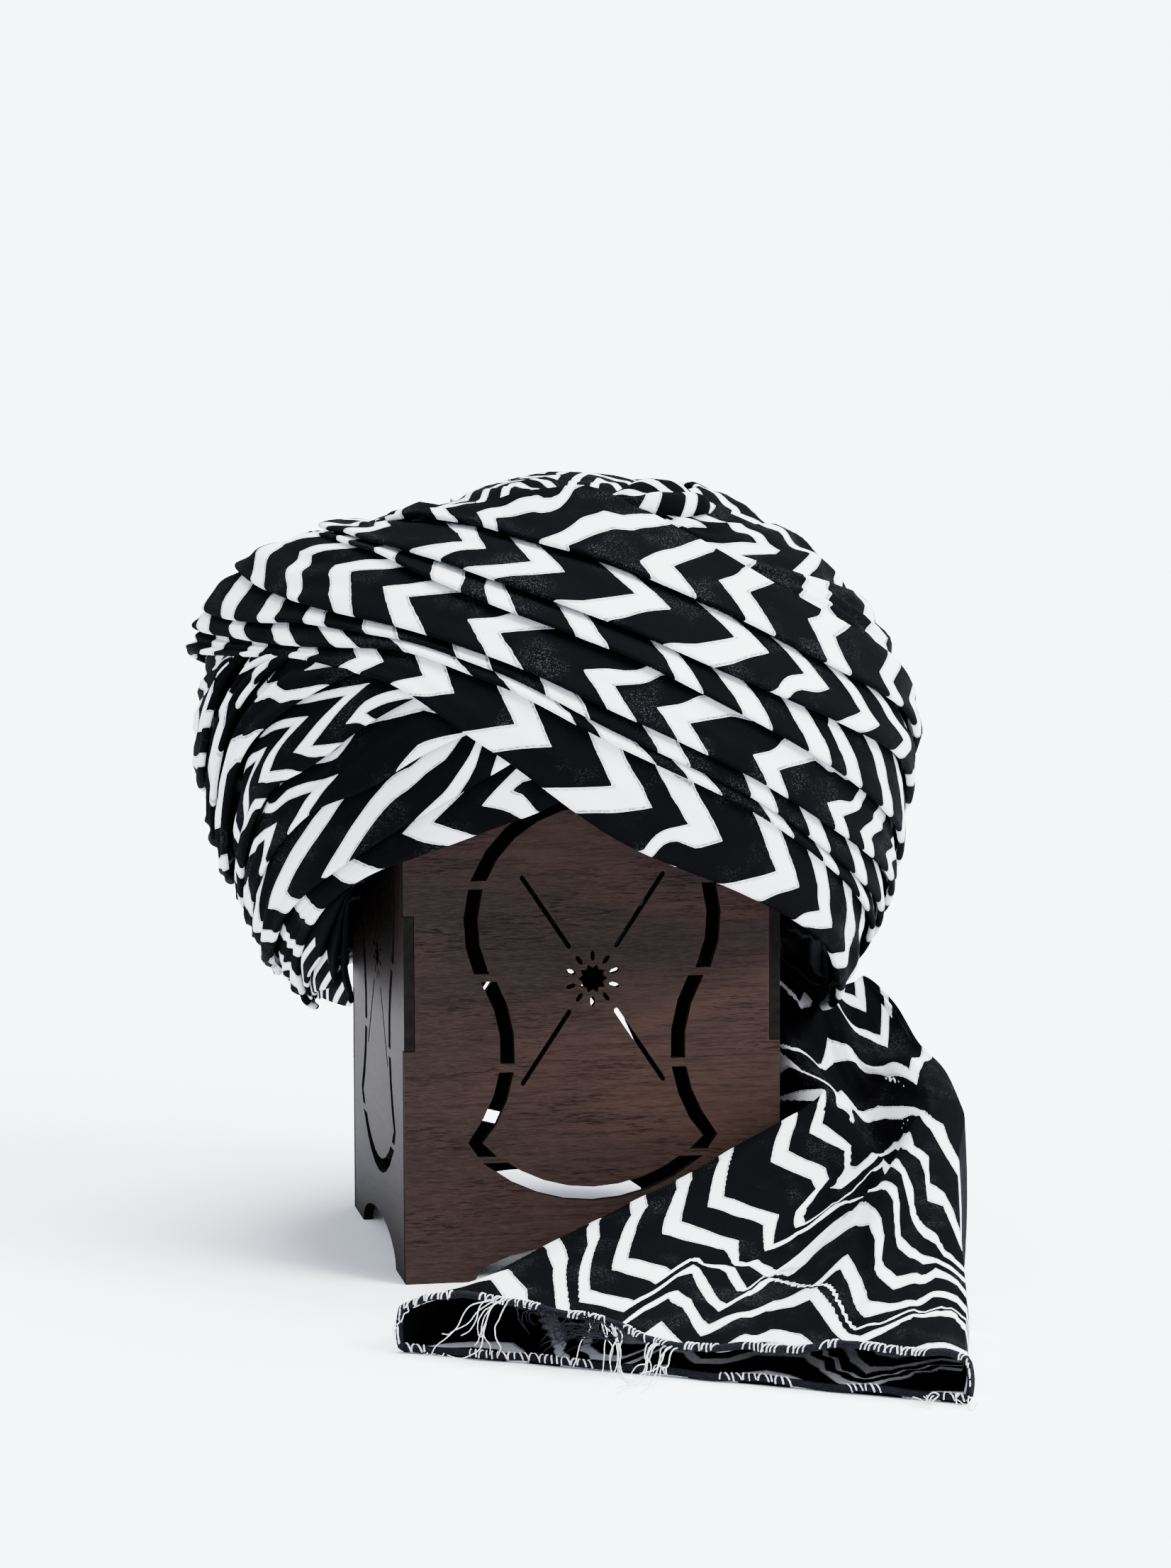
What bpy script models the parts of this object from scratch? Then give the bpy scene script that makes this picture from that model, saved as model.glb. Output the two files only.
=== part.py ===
# Wrapped turban of printed cotton voile on a pierced wooden display box.
# Metres, +Z up. The box's front looks towards -Y, the floor is z = 0, and the origin lies under the
# middle of the whole object. The turban is wound cloth: a thick hollow core of inner turns, with the
# pleats of the last turns laid over it, a thin crown, and a loose tail that lies on the floor.

import math
from bisect import bisect_right

import bmesh
import bpy

MM = 0.001

# The display box, in millimetres
BOX_WIDTH = 150.0
BOX_HEIGHT = 240.0
BOARD = 4.0
FIT = 0.3
TAB_LENGTH = 54.0
FOOT_WIDTH = 27.5
ARCH_HEIGHT = 14.0
BOX_CENTRE = (-3.0, 66.0)

# The pierced ornament, measured from the middle of each wall
ROSETTE_PETALS = 10
PETAL_RADIUS = 9.1
PETAL_LENGTH = 4.5
PETAL_WIDTH = 2.0
HOLE_RADIUS = 5.1
HOLE_TOOTH = 0.8
RAY_INNER = (9.4, 13.0)
RAY_OUTER = (28.0, 41.0)
RAY_WIDTH = 1.9
FIGURE_SLOT = 5.7
SLOT_CHORD_DEGREES = 13.0
HEAD_CENTRE, HEAD_RADIUS = (0.0, 23.0), 48.4
WAIST_CENTRE, WAIST_RADIUS = (-90.1, -28.0), 56.3
BASE_CENTRE, BASE_RADIUS = (0.0, -24.0), 62.3
# Slots of the left half of the figure: which arc, and its first and last angle in degrees
HALF_SLOTS = (
    ("head", 91.8, 159.3),
    ("head", 163.4, 204.3),
    ("waist", 29.8, -5.0),
)
HIP_ANGLES = (-8.5, -40.0)
CUSP_ANGLE = 227.5
BASE_ANGLES = (231.0, 309.0)

# The wound turban's outer form, as distances from its own middle
TURBAN_OFFSET = (3.0, 20.0)
TURBAN_MIDDLE = 205.0
TURBAN_HALF_WIDTH = 144.0
TURBAN_HALF_DEPTH = 148.0
TURBAN_RISE = 104.5
TURBAN_DROP = 149.5
RIGHT_LOBE_DROP = 15.5
RIGHT_SIDE_PULL = 0.025
RIGHT_PULL_DEGREES = 8.0
SIDE_ROUNDNESS = 2.3
TOP_ROUNDNESS = 2.1
RIGHT_SHOULDER_SLOPE = 0.2
# The bunch at the left side where the over wraps cross
BUNCH_AZIMUTH, BUNCH_HEIGHT = -106.0, 23.0
BUNCH_RISE = 9.0
BUNCH_SPREAD = 13.0
PLEAT_DEPTH = 10.0
PLEAT_PROUD = 3.0
PLEAT_TUCK = 3.0
LIP_TUCK = 0.5
CROWN_TUCK = 3.0
PLEAT_NOSE = 0.18
PLEAT_FULLNESS = 1.4
PLEAT_GAP_DEGREES = 0.22
LEAST_PLEAT = 0.9
CHORD_DEGREES = 12.0
CORE_CLEARANCE = 1.6
CORE_LEVELS = 7
RIM_INSET, CROWN_INSET = 1.6, 1.0
RIM_STEP = 0.5

# The hollow where the head goes, around the box: straight walls, then a dome above the box
HOLLOW_HALF = (84.5, 86.0)
HOLLOW_SQUARENESS = 8.0
LEAST_WALL = 4.0
RIM_CLEARANCE = 1.0
DOME_HALF = (84.0, 86.0)
DOME_SHIFT = (3.0, 14.0)
DOME_RISE = 53.0
DOME_CLIMBS = (48, 24, 0)
CROWN_DEPTH = 9.0
CROWN_RINGS = (0.0, 0.25, 0.55, 0.8)

# Azimuths of the sections in degrees: 0 is the front, 90 the right side, -90 the left side
BACK_LEFT = [-180 + 12 * step for step in range(8)]
FRONT_LEFT = [-88 + 8 * step for step in range(11)]
RIGHT_SIDE = [12 * step for step in range(15)]
STATIONS = BACK_LEFT + FRONT_LEFT + RIGHT_SIDE

# Heights of the creases between the over wraps, as angles above the turban's middle.
# They bunch high on the left and fan out low on the right.
OVER_AZIMUTHS = (-150, -120, -100, -80, -60, -40, -20, 0, 20, 40, 60, 90, 120, 150, 180)
OVER_CREASES = {
    "lip":        (48, 54, 56, 58, 59, 60, 63, 64, 54, 31, 18, 4, 4, 15, 33),
    "shoulder":   (42, 47, 49, 50, 52, 51, 46, 39, 28, 16, 7, -6, -6, 5, 23),
    "cord_top":   (32, 38, 41, 43, 42, 39, 33, 25, 15, 6, -2, -15, -17, -6, 12),
    "cord_foot":  (29, 35, 39, 41, 40, 35, 28, 20, 9, -2, -12, -24, -24, -12, 7),
    "middle":     (20, 25, 27, 27, 26, 24, 19, 10, 0, -11, -20, -31, -31, -20, -2),
    "fine_foot":  (14, 18, 19, 21, 23, 22, 17, 7, -3, -15, -25, -36, -36, -25, -8),
    "brow":       (12, 15, 16, 18, 19, 20, 15, 5, -5, -17, -28, -41, -40, -29, -12),
    "lower_edge": (-6, 7, 12, 15, 17, 15, 5, -9, -18, -28, -41, -49, -45, -36, -24),
}
CROWN_EDGE = (49, 55, 57, 59, 61, 62, 65, 66, 62, 61, 61, 61, 61, 60, 56)
OVER_NAMES = ("top", "shoulder", "cord", "middle", "fine", "brow_cord", "brow")

# Creases between the under wraps, which fan down from the front to the left side and pass under the
# over wraps again at the back right
UNDER_AZIMUTHS = (
    0, -10, -20, -30, -40, -50, -60, -70, -80, -90, -110, -135, -160, -180, -205, -230
)
UNDER_CREASES = {
    "rim":    (3, -3, -7, -11, -15, -21, -29, -37, -44, -48, -48, -45, -45, -46, -45, -43),
    "front":  (12, 7, 1, -5, -11, -17, -23, -30, -36, -40, -41, -39, -39, -39, -38, -37),
    "cheek":  (21, 15, 9, 4, -2, -6, -13, -21, -28, -33, -34, -32, -31, -31, -30, -30),
    "temple": (30, 25, 20, 14, 8, 1, -4, -14, -23, -28, -31, -31, -28, -25, -23, -26),
    "side":   (40, 35, 30, 24, 18, 13, 7, -1, -16, -23, -26, -26, -22, -18, -15, -18),
    "ear":    (50, 45, 40, 34, 30, 25, 18, 9, -4, -16, -20, -20, -15, -10, -7, -10),
    "high":   (60, 55, 50, 44, 40, 35, 30, 22, 10, -5, -11, -12, -7, -2, 2, 0),
    "hidden": (90, 90, 90, 90, 90, 90, 90, 90, 90, 90, 90, 90, 90, 90, 90, 90),
}
UNDER_NAMES = ("rim", "front", "cheek", "temple", "side", "ear", "high")

# Creases between the wraps that circle the crown behind the over wraps
BACK_AZIMUTHS = (0, 10, 20, 30, 40, 50, 60, 75, 90, 110, 130, 150, 165, 180, 195, 210, 228)
BACK_CREASES = {
    "upper": (65, 62, 57, 52, 49, 48, 47, 45, 43, 40, 40, 44, 47, 49, 49, 49, 52),
    "lower": (65, 61, 54, 43, 39, 36, 33, 28, 24, 20, 21, 28, 35, 41, 44, 48, 52),
}
BACK_NAMES = ("low", "mid", "high")

# The fold tucked in beside the crown: azimuth, its two edges as angles, and how far it puffs out
TUCKED_GAP = 0.4
TUCKED_PROFILE = ((0, 0), (0.1, 0.7), (0.3, 1.0), (0.5, 0.6), (0.75, 0.9), (1, 0))
TUCKED_SECTIONS = (
    (14, 57, 62, 1.0),
    (22, 53, 64, 5.0),
    (32, 51, 64, 7.5),
    (42, 51, 63, 6.0),
    (52, 53, 60, 1.0),
)

# The tail on the floor, from the hem back to where it hangs from the right side: the two edges of
# each section and the heights of its left ridge, its valley and its right ridge
TAIL_WALL = 2.2
TAIL_CREST_STOPS = (0.0, 0.07, 0.2, 0.52, 0.8, 0.95, 1.0)
TAIL_TOP_SHARES = (0.0, 0.03, 0.09, 0.2, 0.32, 0.44, 0.54, 0.66, 0.8, 0.91, 0.97, 1.0)
TAIL_FLOOR_SHARES = (0.985, 0.7, 0.3, 0.015)
TAIL_SECTIONS = (
    # left x, left y, right x, right y, left ridge, valley, right ridge, right edge
    (-92, -186, 98, -303, 24, 12, 17, 8),
    (-66, -160, 105, -268, 31, 16, 24, 14),
    (-35, -135, 114, -232, 39, 21, 33, 24),
    (0, -113, 123, -198, 48, 25, 43, 36),
    (34, -97, 132, -162, 57, 29, 54, 48),
    (62, -87, 141, -127, 66, 35, 63, 58),
    (80, -77, 150, -94, 73, 48, 70, 68),
    (75.4, -46, 148, -58, 77, 60, 80, 76),
    (75.4, -18, 145, -22, 76, 66, 76, 79),
    (75.4, 8, 141, 12, 75, 79, 82, 89),
    (80, 32, 135, 44, 66, 76, 88, 95),
    (88, 50, 127, 59, 40, 52, 58, 48),
)


def clear_scene():
    for obj in list(bpy.data.objects):
        bpy.data.objects.remove(obj, do_unlink=True)


def collection(name):
    made = bpy.data.collections.new(name)
    bpy.context.scene.collection.children.link(made)
    return made


def material(name, colour, roughness):
    made = bpy.data.materials.new(name)
    made.use_nodes = True
    shader = made.node_tree.nodes["Principled BSDF"]
    shader.inputs["Base Color"].default_value = (*colour, 1.0)
    shader.inputs["Roughness"].default_value = roughness
    shader.inputs["Metallic"].default_value = 0.0
    made.diffuse_color = (*colour, 1.0)
    return made


def smooth_curve(stops, values):
    """A curve through the values that never rises or falls past them between two stops."""
    steps = [right - left for left, right in zip(stops, stops[1:])]
    slopes = [(high - low) / step for low, high, step in zip(values, values[1:], steps)]
    tangents = [slopes[0]]
    for before, after in zip(slopes, slopes[1:]):
        tangents.append(0.0 if before * after <= 0 else 2 * before * after / (before + after))
    tangents.append(slopes[-1])

    def read(where):
        place = min(max(bisect_right(stops, where) - 1, 0), len(steps) - 1)
        t = (where - stops[place]) / steps[place]
        start, end = tangents[place] * steps[place], tangents[place + 1] * steps[place]
        low, high = values[place], values[place + 1]
        return (
            low * (1 + 2 * t) * (1 - t) ** 2 + start * t * (1 - t) ** 2
            + high * t * t * (3 - 2 * t) + end * t * t * (t - 1)
        )

    return read


def closed_crease(azimuths, heights):
    """The same, running once round the turban."""
    stops = [azimuths[-1] - 360] + list(azimuths) + [azimuths[0] + 360]
    values = [heights[-1]] + list(heights) + [heights[0]]
    return smooth_curve(stops, values)


def open_crease(azimuths, heights):
    if azimuths[0] > azimuths[-1]:
        azimuths, heights = azimuths[::-1], heights[::-1]
    return smooth_curve(list(azimuths), list(heights))


def outer_radius(azimuth, height):
    """How far the turban's outside lies from its middle, in a direction given in degrees."""
    turn, climb = math.radians(azimuth), math.radians(height)
    across = math.hypot(math.sin(turn) / TURBAN_HALF_WIDTH, math.cos(turn) / TURBAN_HALF_DEPTH)
    if climb > 0:
        tall = TURBAN_RISE
        power = TOP_ROUNDNESS - RIGHT_SHOULDER_SLOPE * max(0.0, math.sin(turn))
    else:
        tall = TURBAN_DROP + RIGHT_LOBE_DROP * math.sin(turn)
        power = SIDE_ROUNDNESS
        pull = RIGHT_SIDE_PULL * (1 - math.exp(height / RIGHT_PULL_DEGREES))
        across /= 1 - pull * max(0.0, math.sin(turn))
    level = (math.cos(climb) * across) ** power
    upright = (abs(math.sin(climb)) / tall) ** power
    aside = (azimuth - BUNCH_AZIMUTH + 180) % 360 - 180
    away = math.hypot(aside, height - BUNCH_HEIGHT) / BUNCH_SPREAD
    return (level + upright) ** (-1 / power) + BUNCH_RISE * math.exp(-away * away)


def turban_point(azimuth, height, radius):
    turn, climb = math.radians(azimuth), math.radians(height)
    out = radius * math.cos(climb)
    x = BOX_CENTRE[0] + TURBAN_OFFSET[0] + out * math.sin(turn)
    y = BOX_CENTRE[1] + TURBAN_OFFSET[1] - out * math.cos(turn)
    return x * MM, y * MM, (TURBAN_MIDDLE + radius * math.sin(climb)) * MM


def loft(name, rings, closed, look, home):
    """One body through rings with the same number of points; an open run is capped at both ends."""
    shape = bmesh.new()
    loops = [[shape.verts.new(point) for point in ring] for ring in rings]
    pairs = list(zip(loops, loops[1:]))
    if closed:
        pairs.append((loops[-1], loops[0]))
    for near, far in pairs:
        for place in range(len(near)):
            after = (place + 1) % len(near)
            shape.faces.new((near[place], near[after], far[after], far[place]))
    if not closed:
        shape.faces.new(loops[0])
        shape.faces.new(loops[-1])
    return finish(name, shape, look, home)


def finish(name, shape, look, home):
    bmesh.ops.triangulate(shape, faces=shape.faces[:])
    bmesh.ops.recalc_face_normals(shape, faces=shape.faces[:])
    mesh = bpy.data.meshes.new(name)
    shape.to_mesh(mesh)
    shape.free()
    obj = bpy.data.objects.new(name, mesh)
    obj.data.materials.append(look)
    home.objects.link(obj)
    return obj


# The display box

def arc_points(centre, radius, first, last, steps):
    for step in range(steps + 1):
        angle = math.radians(first + (last - first) * step / steps)
        yield centre[0] + radius * math.cos(angle), centre[1] + radius * math.sin(angle)


def band_outline(path, width):
    """The outline of a slot of the given width along a path; steep ends are cut level."""
    left, right = [], []
    for place, (x, y) in enumerate(path):
        before = path[max(place - 1, 0)]
        after = path[min(place + 1, len(path) - 1)]
        run, rise = after[0] - before[0], after[1] - before[1]
        length = math.hypot(run, rise)
        off = (-rise / length * width / 2, run / length * width / 2)
        if place in (0, len(path) - 1) and abs(rise) > 0.5 * abs(run):
            off = (-math.copysign(width / 2, rise) * length / abs(rise), 0)
        left.append((x + off[0], y + off[1]))
        right.append((x - off[0], y - off[1]))
    return left + right[::-1]


def mirrored(outline):
    return [(-x, y) for x, y in outline]


def figure_slots():
    """The slots that draw the figure around the rosette: head, waist, hips and rounded base."""
    arcs = {"head": (HEAD_CENTRE, HEAD_RADIUS), "waist": (WAIST_CENTRE, WAIST_RADIUS)}
    for arc, first, last in HALF_SLOTS:
        steps = max(3, round(abs(last - first) / SLOT_CHORD_DEGREES))
        slot = band_outline(list(arc_points(*arcs[arc], first, last, steps)), FIGURE_SLOT)
        yield slot
        yield mirrored(slot)
    hip = list(arc_points(WAIST_CENTRE, WAIST_RADIUS, *HIP_ANGLES, 3))
    cusp = arc_points(BASE_CENTRE, BASE_RADIUS, CUSP_ANGLE, CUSP_ANGLE, 1)
    slot = band_outline(hip + [next(cusp)], FIGURE_SLOT)
    yield slot
    yield mirrored(slot)
    yield band_outline(list(arc_points(BASE_CENTRE, BASE_RADIUS, *BASE_ANGLES, 8)), FIGURE_SLOT)


def rosette():
    for petal in range(ROSETTE_PETALS):
        turn = math.tau * petal / ROSETTE_PETALS + math.pi / 2
        outline = []
        for step in range(6):
            around = math.tau * step / 6
            along = PETAL_RADIUS + PETAL_LENGTH / 2 * math.cos(around)
            aside = PETAL_WIDTH / 2 * math.sin(around)
            outline.append((
                along * math.cos(turn) - aside * math.sin(turn),
                along * math.sin(turn) + aside * math.cos(turn),
            ))
        yield outline
    hole = []
    for step in range(2 * ROSETTE_PETALS):
        radius = HOLE_RADIUS + (HOLE_TOOTH if step % 2 else -HOLE_TOOTH)
        turn = math.pi * step / ROSETTE_PETALS + math.pi / 2
        hole.append((radius * math.cos(turn), radius * math.sin(turn)))
    yield hole


def rays():
    """Four narrow slots with round ends that point away from the rosette."""
    heading = math.atan2(RAY_OUTER[1] - RAY_INNER[1], RAY_OUTER[0] - RAY_INNER[0])
    outline = []
    for end, start in ((RAY_OUTER, heading - math.pi / 2), (RAY_INNER, heading + math.pi / 2)):
        for step in range(4):
            angle = start + math.pi * step / 3
            outline.append((
                end[0] + RAY_WIDTH / 2 * math.cos(angle),
                end[1] + RAY_WIDTH / 2 * math.sin(angle),
            ))
    for side in (-1, 1):
        for way in (-1, 1):
            yield [(side * x, way * y) for x, y in outline]


def ornament():
    for outline in (*figure_slots(), *rosette(), *rays()):
        yield [(x, y + BOX_HEIGHT / 2) for x, y in outline]


def arch():
    """The arched cut between the two feet, from the left foot to the right one."""
    half = BOX_WIDTH / 2 - FOOT_WIDTH
    for step in range(13):
        angle = math.pi * (1 - step / 12)
        yield half * math.cos(angle), ARCH_HEIGHT * math.sin(angle)


def wall_outline(half, edge, notch):
    """Feet, arch and side edges: notched where notch > 0, and with tabs where it is < 0."""
    low, high = (BOX_HEIGHT - TAB_LENGTH) / 2, (BOX_HEIGHT + TAB_LENGTH) / 2
    if notch < 0:
        low, high = low + FIT, high - FIT
    side = [(half, 0), (half, low), (edge, low), (edge, high), (half, high), (half, BOX_HEIGHT)]
    seat = BOX_HEIGHT - BOARD - FIT
    top = [(TAB_LENGTH / 2, BOX_HEIGHT), (TAB_LENGTH / 2, seat)]
    right = side + top
    left = [(-x, y) for x, y in right[::-1]]
    return list(arch()) + right + left


def board(name, outlines, look, home):
    """A flat board cut from its outline, with each further outline pierced through it."""
    flat = bpy.data.curves.new(name, "CURVE")
    flat.dimensions = "2D"
    flat.fill_mode = "BOTH"
    flat.extrude = BOARD / 2 * MM
    for outline in outlines:
        spline = flat.splines.new("POLY")
        spline.points.add(len(outline) - 1)
        for point, (x, y) in zip(spline.points, outline):
            point.co = (x * MM, y * MM, 0, 1)
        spline.use_cyclic_u = True
    flat.materials.append(look)
    obj = bpy.data.objects.new(name, flat)
    home.objects.link(obj)
    return obj


def build_box(home):
    """Four pierced walls that stand on corner feet, and a plain top held by tabs."""
    wood = material("dark_walnut_board", (0.072, 0.040, 0.032), 0.55)
    dark = material("dark_walnut_side", (0.060, 0.034, 0.029), 0.58)
    half = BOX_WIDTH / 2
    inner = half - BOARD - FIT
    middle = half - BOARD / 2
    faces = list(ornament())
    broad = wall_outline(half, inner, 1)
    narrow = wall_outline(inner, half, -1)
    walls = (
        ("box_front_panel", broad, (0, -middle), 0, wood),
        ("box_back_panel", broad, (0, middle), 0, wood),
        ("box_left_panel", narrow, (-middle, 0), 90, dark),
        ("box_right_panel", narrow, (middle, 0), 90, dark),
    )
    for name, outline, (x, y), turn, look in walls:
        wall = board(name, [outline] + faces, look, home)
        wall.location = ((BOX_CENTRE[0] + x) * MM, (BOX_CENTRE[1] + y) * MM, 0)
        wall.rotation_euler = (math.radians(90), 0, math.radians(turn))
    tab = TAB_LENGTH / 2 - FIT
    side = [(inner, -inner), (inner, -tab), (half, -tab), (half, tab), (inner, tab)]
    quarter = list(side)
    outline = []
    for _ in range(4):
        outline += quarter
        quarter = [(-y, x) for x, y in quarter]
    top = board("box_top_panel", [outline], wood, home)
    top.location = (BOX_CENTRE[0] * MM, BOX_CENTRE[1] * MM, (BOX_HEIGHT - BOARD / 2) * MM)


# The wound turban

def hollow_reach(azimuth, half=HOLLOW_HALF, shift=(0.0, 0.0), squareness=HOLLOW_SQUARENESS):
    """Level distance from the turban's middle to an oval placed around the box."""
    turn = math.radians(azimuth)
    low, high = 0.0, TURBAN_HALF_DEPTH
    for _ in range(30):
        reach = (low + high) / 2
        x = reach * math.sin(turn) + TURBAN_OFFSET[0] - shift[0]
        y = -reach * math.cos(turn) + TURBAN_OFFSET[1] - shift[1]
        inside = abs(x / half[0]) ** squareness + abs(y / half[1]) ** squareness < 1
        low, high = (reach, high) if inside else (low, reach)
    return low


def dome_profile(azimuth, height):
    """A point of the hollow's dome above the box, at a share of the climb to its top."""
    base = hollow_reach(azimuth, DOME_HALF, DOME_SHIFT, 2.0)
    level = base * math.cos(math.radians(height))
    rise = BOX_HEIGHT + FIT + DOME_RISE * math.sin(math.radians(height))
    return level, rise - TURBAN_MIDDLE


def level_point(azimuth, level, rise):
    return turban_point(azimuth, math.degrees(math.atan2(rise, level)), math.hypot(level, rise))


def rim_height(azimuth, over, under):
    """The turban's lower rim: the over wraps' edge on the right, the under wraps' on the left."""
    edge = over["lower_edge"](azimuth)
    other = azimuth if azimuth <= 0 else azimuth - 360
    if UNDER_AZIMUTHS[-1] <= other <= UNDER_AZIMUTHS[0]:
        return min(edge, under["rim"](other))
    return edge


def build_core(home, over, under, crown):
    """The inner turns: thick wound cloth, open below, with a ledge that rests on the box's corners."""
    cloth = material("wound_voile", (0.030, 0.030, 0.034), 0.85)
    rings = []
    skin = PLEAT_DEPTH + CORE_CLEARANCE
    for azimuth in STATIONS:
        wall = hollow_reach(azimuth)
        rim = rim_height(azimuth, over, under) + RIM_INSET
        while (outer_radius(azimuth, rim) - skin) * math.cos(math.radians(rim)) < wall + LEAST_WALL:
            rim += RIM_STEP
        ring = []
        for step in range(CORE_LEVELS + 1):
            height = rim + (crown(azimuth) - CROWN_INSET - rim) * step / CORE_LEVELS
            ring.append(turban_point(azimuth, height, outer_radius(azimuth, height) - skin))
        for climb in DOME_CLIMBS:
            ring.append(level_point(azimuth, *dome_profile(azimuth, climb)))
        ring.append(level_point(azimuth, wall, BOX_HEIGHT + FIT - TURBAN_MIDDLE))
        ring.append(level_point(azimuth, wall, wall * math.tan(math.radians(rim))))
        rings.append(ring)
    loft("wound_core", rings, True, cloth, home)


def build_crown(home, crown):
    """The thin crown that closes the turban's top, inside the edge of the wraps."""
    cloth = material("crown_voile", (0.35, 0.35, 0.37), 0.85)
    shape = bmesh.new()
    layers = []
    for depth in (CROWN_TUCK, CROWN_DEPTH):
        layer = []
        for share in CROWN_RINGS:
            heights = [crown(azimuth) + (90 - crown(azimuth)) * share for azimuth in STATIONS]
            layer.append([
                shape.verts.new(turban_point(azimuth, height, outer_radius(azimuth, height) - depth))
                for azimuth, height in zip(STATIONS, heights)
            ])
        layers.append(layer)
    outer, inner = layers
    for near, far in (*zip(outer, outer[1:]), *zip(inner, inner[1:]), (outer[0], inner[0])):
        for place in range(len(near)):
            after = (place + 1) % len(near)
            shape.faces.new((near[place], near[after], far[after], far[place]))
    for layer, depth in zip(layers, (CROWN_TUCK, CROWN_DEPTH)):
        pole = shape.verts.new(turban_point(0, 90, TURBAN_RISE - depth))
        ring = layer[-1]
        for place in range(len(ring)):
            shape.faces.new((ring[place], ring[(place + 1) % len(ring)], pole))
    finish("crown_cap", shape, cloth, home)


def pleat_ring(azimuth, low, high, steps, tuck):
    """One section of a pleat: its lower edge stands proud, its upper edge tucks in."""
    low, high = low + PLEAT_GAP_DEGREES, high - PLEAT_GAP_DEGREES
    profile = [(0.0, PLEAT_PROUD / 2), (PLEAT_NOSE, PLEAT_PROUD)]
    for step in range(1, max(steps, 2) + 1):
        share = step / max(steps, 2)
        lift = PLEAT_PROUD - (PLEAT_PROUD + tuck) * share ** PLEAT_FULLNESS
        profile.append((PLEAT_NOSE + (1 - PLEAT_NOSE) * share, lift))
    profile += [(1 - step / steps, -PLEAT_DEPTH) for step in range(steps + 1)]
    wall = hollow_reach(azimuth)
    ring = []
    for share, lift in profile:
        height = low + share * (high - low)
        radius = outer_radius(azimuth, height) + lift
        if height < 0:
            radius = max(radius, (wall + RIM_CLEARANCE) / math.cos(math.radians(height)))
        ring.append(turban_point(azimuth, height, radius))
    return ring


def narrow_end(lower, upper, wide, thin):
    """Where a pleat tapers to its least height between two stations, on its neighbours' chords."""
    start = (wide, lower(wide), upper(wide))
    end = (thin, lower(thin), upper(thin))
    room, rest = start[2] - start[1], end[2] - end[1]
    share = (room - LEAST_PLEAT) / (room - rest)
    return tuple(near + (far - near) * share for near, far in zip(start, end))


def build_run(name, lower, upper, stations, closed, look, home, tuck=PLEAT_TUCK):
    """A pleat between two creases, all round or over the stretch where it shows."""
    shown = [azimuth for azimuth in stations if upper(azimuth) - lower(azimuth) > LEAST_PLEAT]
    spans = [(azimuth, lower(azimuth), upper(azimuth)) for azimuth in shown]
    if not closed:
        first, last = stations.index(shown[0]), stations.index(shown[-1])
        if first > 0:
            spans.insert(0, narrow_end(lower, upper, shown[0], stations[first - 1]))
        if last < len(stations) - 1:
            spans.append(narrow_end(lower, upper, shown[-1], stations[last + 1]))
    steps = math.ceil(max(high - low for _, low, high in spans) / CHORD_DEGREES)
    rings = [pleat_ring(azimuth, low, high, steps, tuck) for azimuth, low, high in spans]
    loft(name, rings, closed, look, home)


def build_over_wraps(home, over):
    """The last turns: pleats that run from the bunched left side down to the right, and round."""
    names = list(OVER_CREASES)
    for name, upper, lower in zip(OVER_NAMES, names, names[1:]):
        cloth = material("over_wrap_" + name, (0.10, 0.10, 0.11), 0.85)
        tuck = LIP_TUCK if upper == "lip" else PLEAT_TUCK
        build_run("over_wrap_" + name, over[lower], over[upper], STATIONS, True, cloth, home, tuck)


def build_under_wraps(home, over, under):
    """Pleats that fan from the front down the left side and round the back, under the over wraps."""
    stations = [azimuth for azimuth in STATIONS if azimuth <= 0][::-1]
    stations += [azimuth - 360 for azimuth in STATIONS[::-1] if azimuth >= 132]
    names = list(UNDER_CREASES)
    for name, lower, upper in zip(UNDER_NAMES, names, names[1:]):
        cloth = material("under_wrap_" + name, (0.14, 0.14, 0.15), 0.85)

        def ceiling(azimuth, crease=under[upper]):
            turn = azimuth if azimuth >= -180 else azimuth + 360
            return min(crease(azimuth), over["lower_edge"](turn) - 2 * PLEAT_GAP_DEGREES)

        build_run("under_wrap_" + name, under[lower], ceiling, stations, False, cloth, home)


def build_back_wraps(home, over, back, crown):
    """Pleats that circle the crown behind the over wraps' lip."""
    def lip(azimuth):
        return over["lip"](azimuth if azimuth <= 180 else azimuth - 360) + 2 * PLEAT_GAP_DEGREES

    def edge(azimuth):
        return crown(azimuth if azimuth <= 180 else azimuth - 360) - 2 * PLEAT_GAP_DEGREES

    def between(crease):
        return lambda azimuth: min(max(crease(azimuth), lip(azimuth)), edge(azimuth))

    stations = [azimuth for azimuth in STATIONS if azimuth >= BACK_AZIMUTHS[0]]
    stations += [azimuth + 360 for azimuth in STATIONS if azimuth + 360 <= BACK_AZIMUTHS[-1]]
    lines = (lip, between(back["lower"]), between(back["upper"]), edge)
    for name, lower, upper in zip(BACK_NAMES, lines, lines[1:]):
        cloth = material("back_wrap_" + name, (0.18, 0.18, 0.19), 0.85)
        build_run("back_wrap_" + name, lower, upper, stations, False, cloth, home)


def build_tucked_fold(home):
    """The loose fold of cloth tucked in where the crown meets the wraps, front right."""
    cloth = material("tucked_voile", (0.22, 0.22, 0.23), 0.85)
    rings = []
    for azimuth, low, high, puff in TUCKED_SECTIONS:
        ring = []
        for share, lift in TUCKED_PROFILE:
            height = low + share * (high - low)
            radius = outer_radius(azimuth, height) + PLEAT_PROUD + TUCKED_GAP + lift * puff
            ring.append(turban_point(azimuth, height, radius))
        rings.append(ring)
    loft("tucked_fold", rings, False, cloth, home)


# The tail

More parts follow.
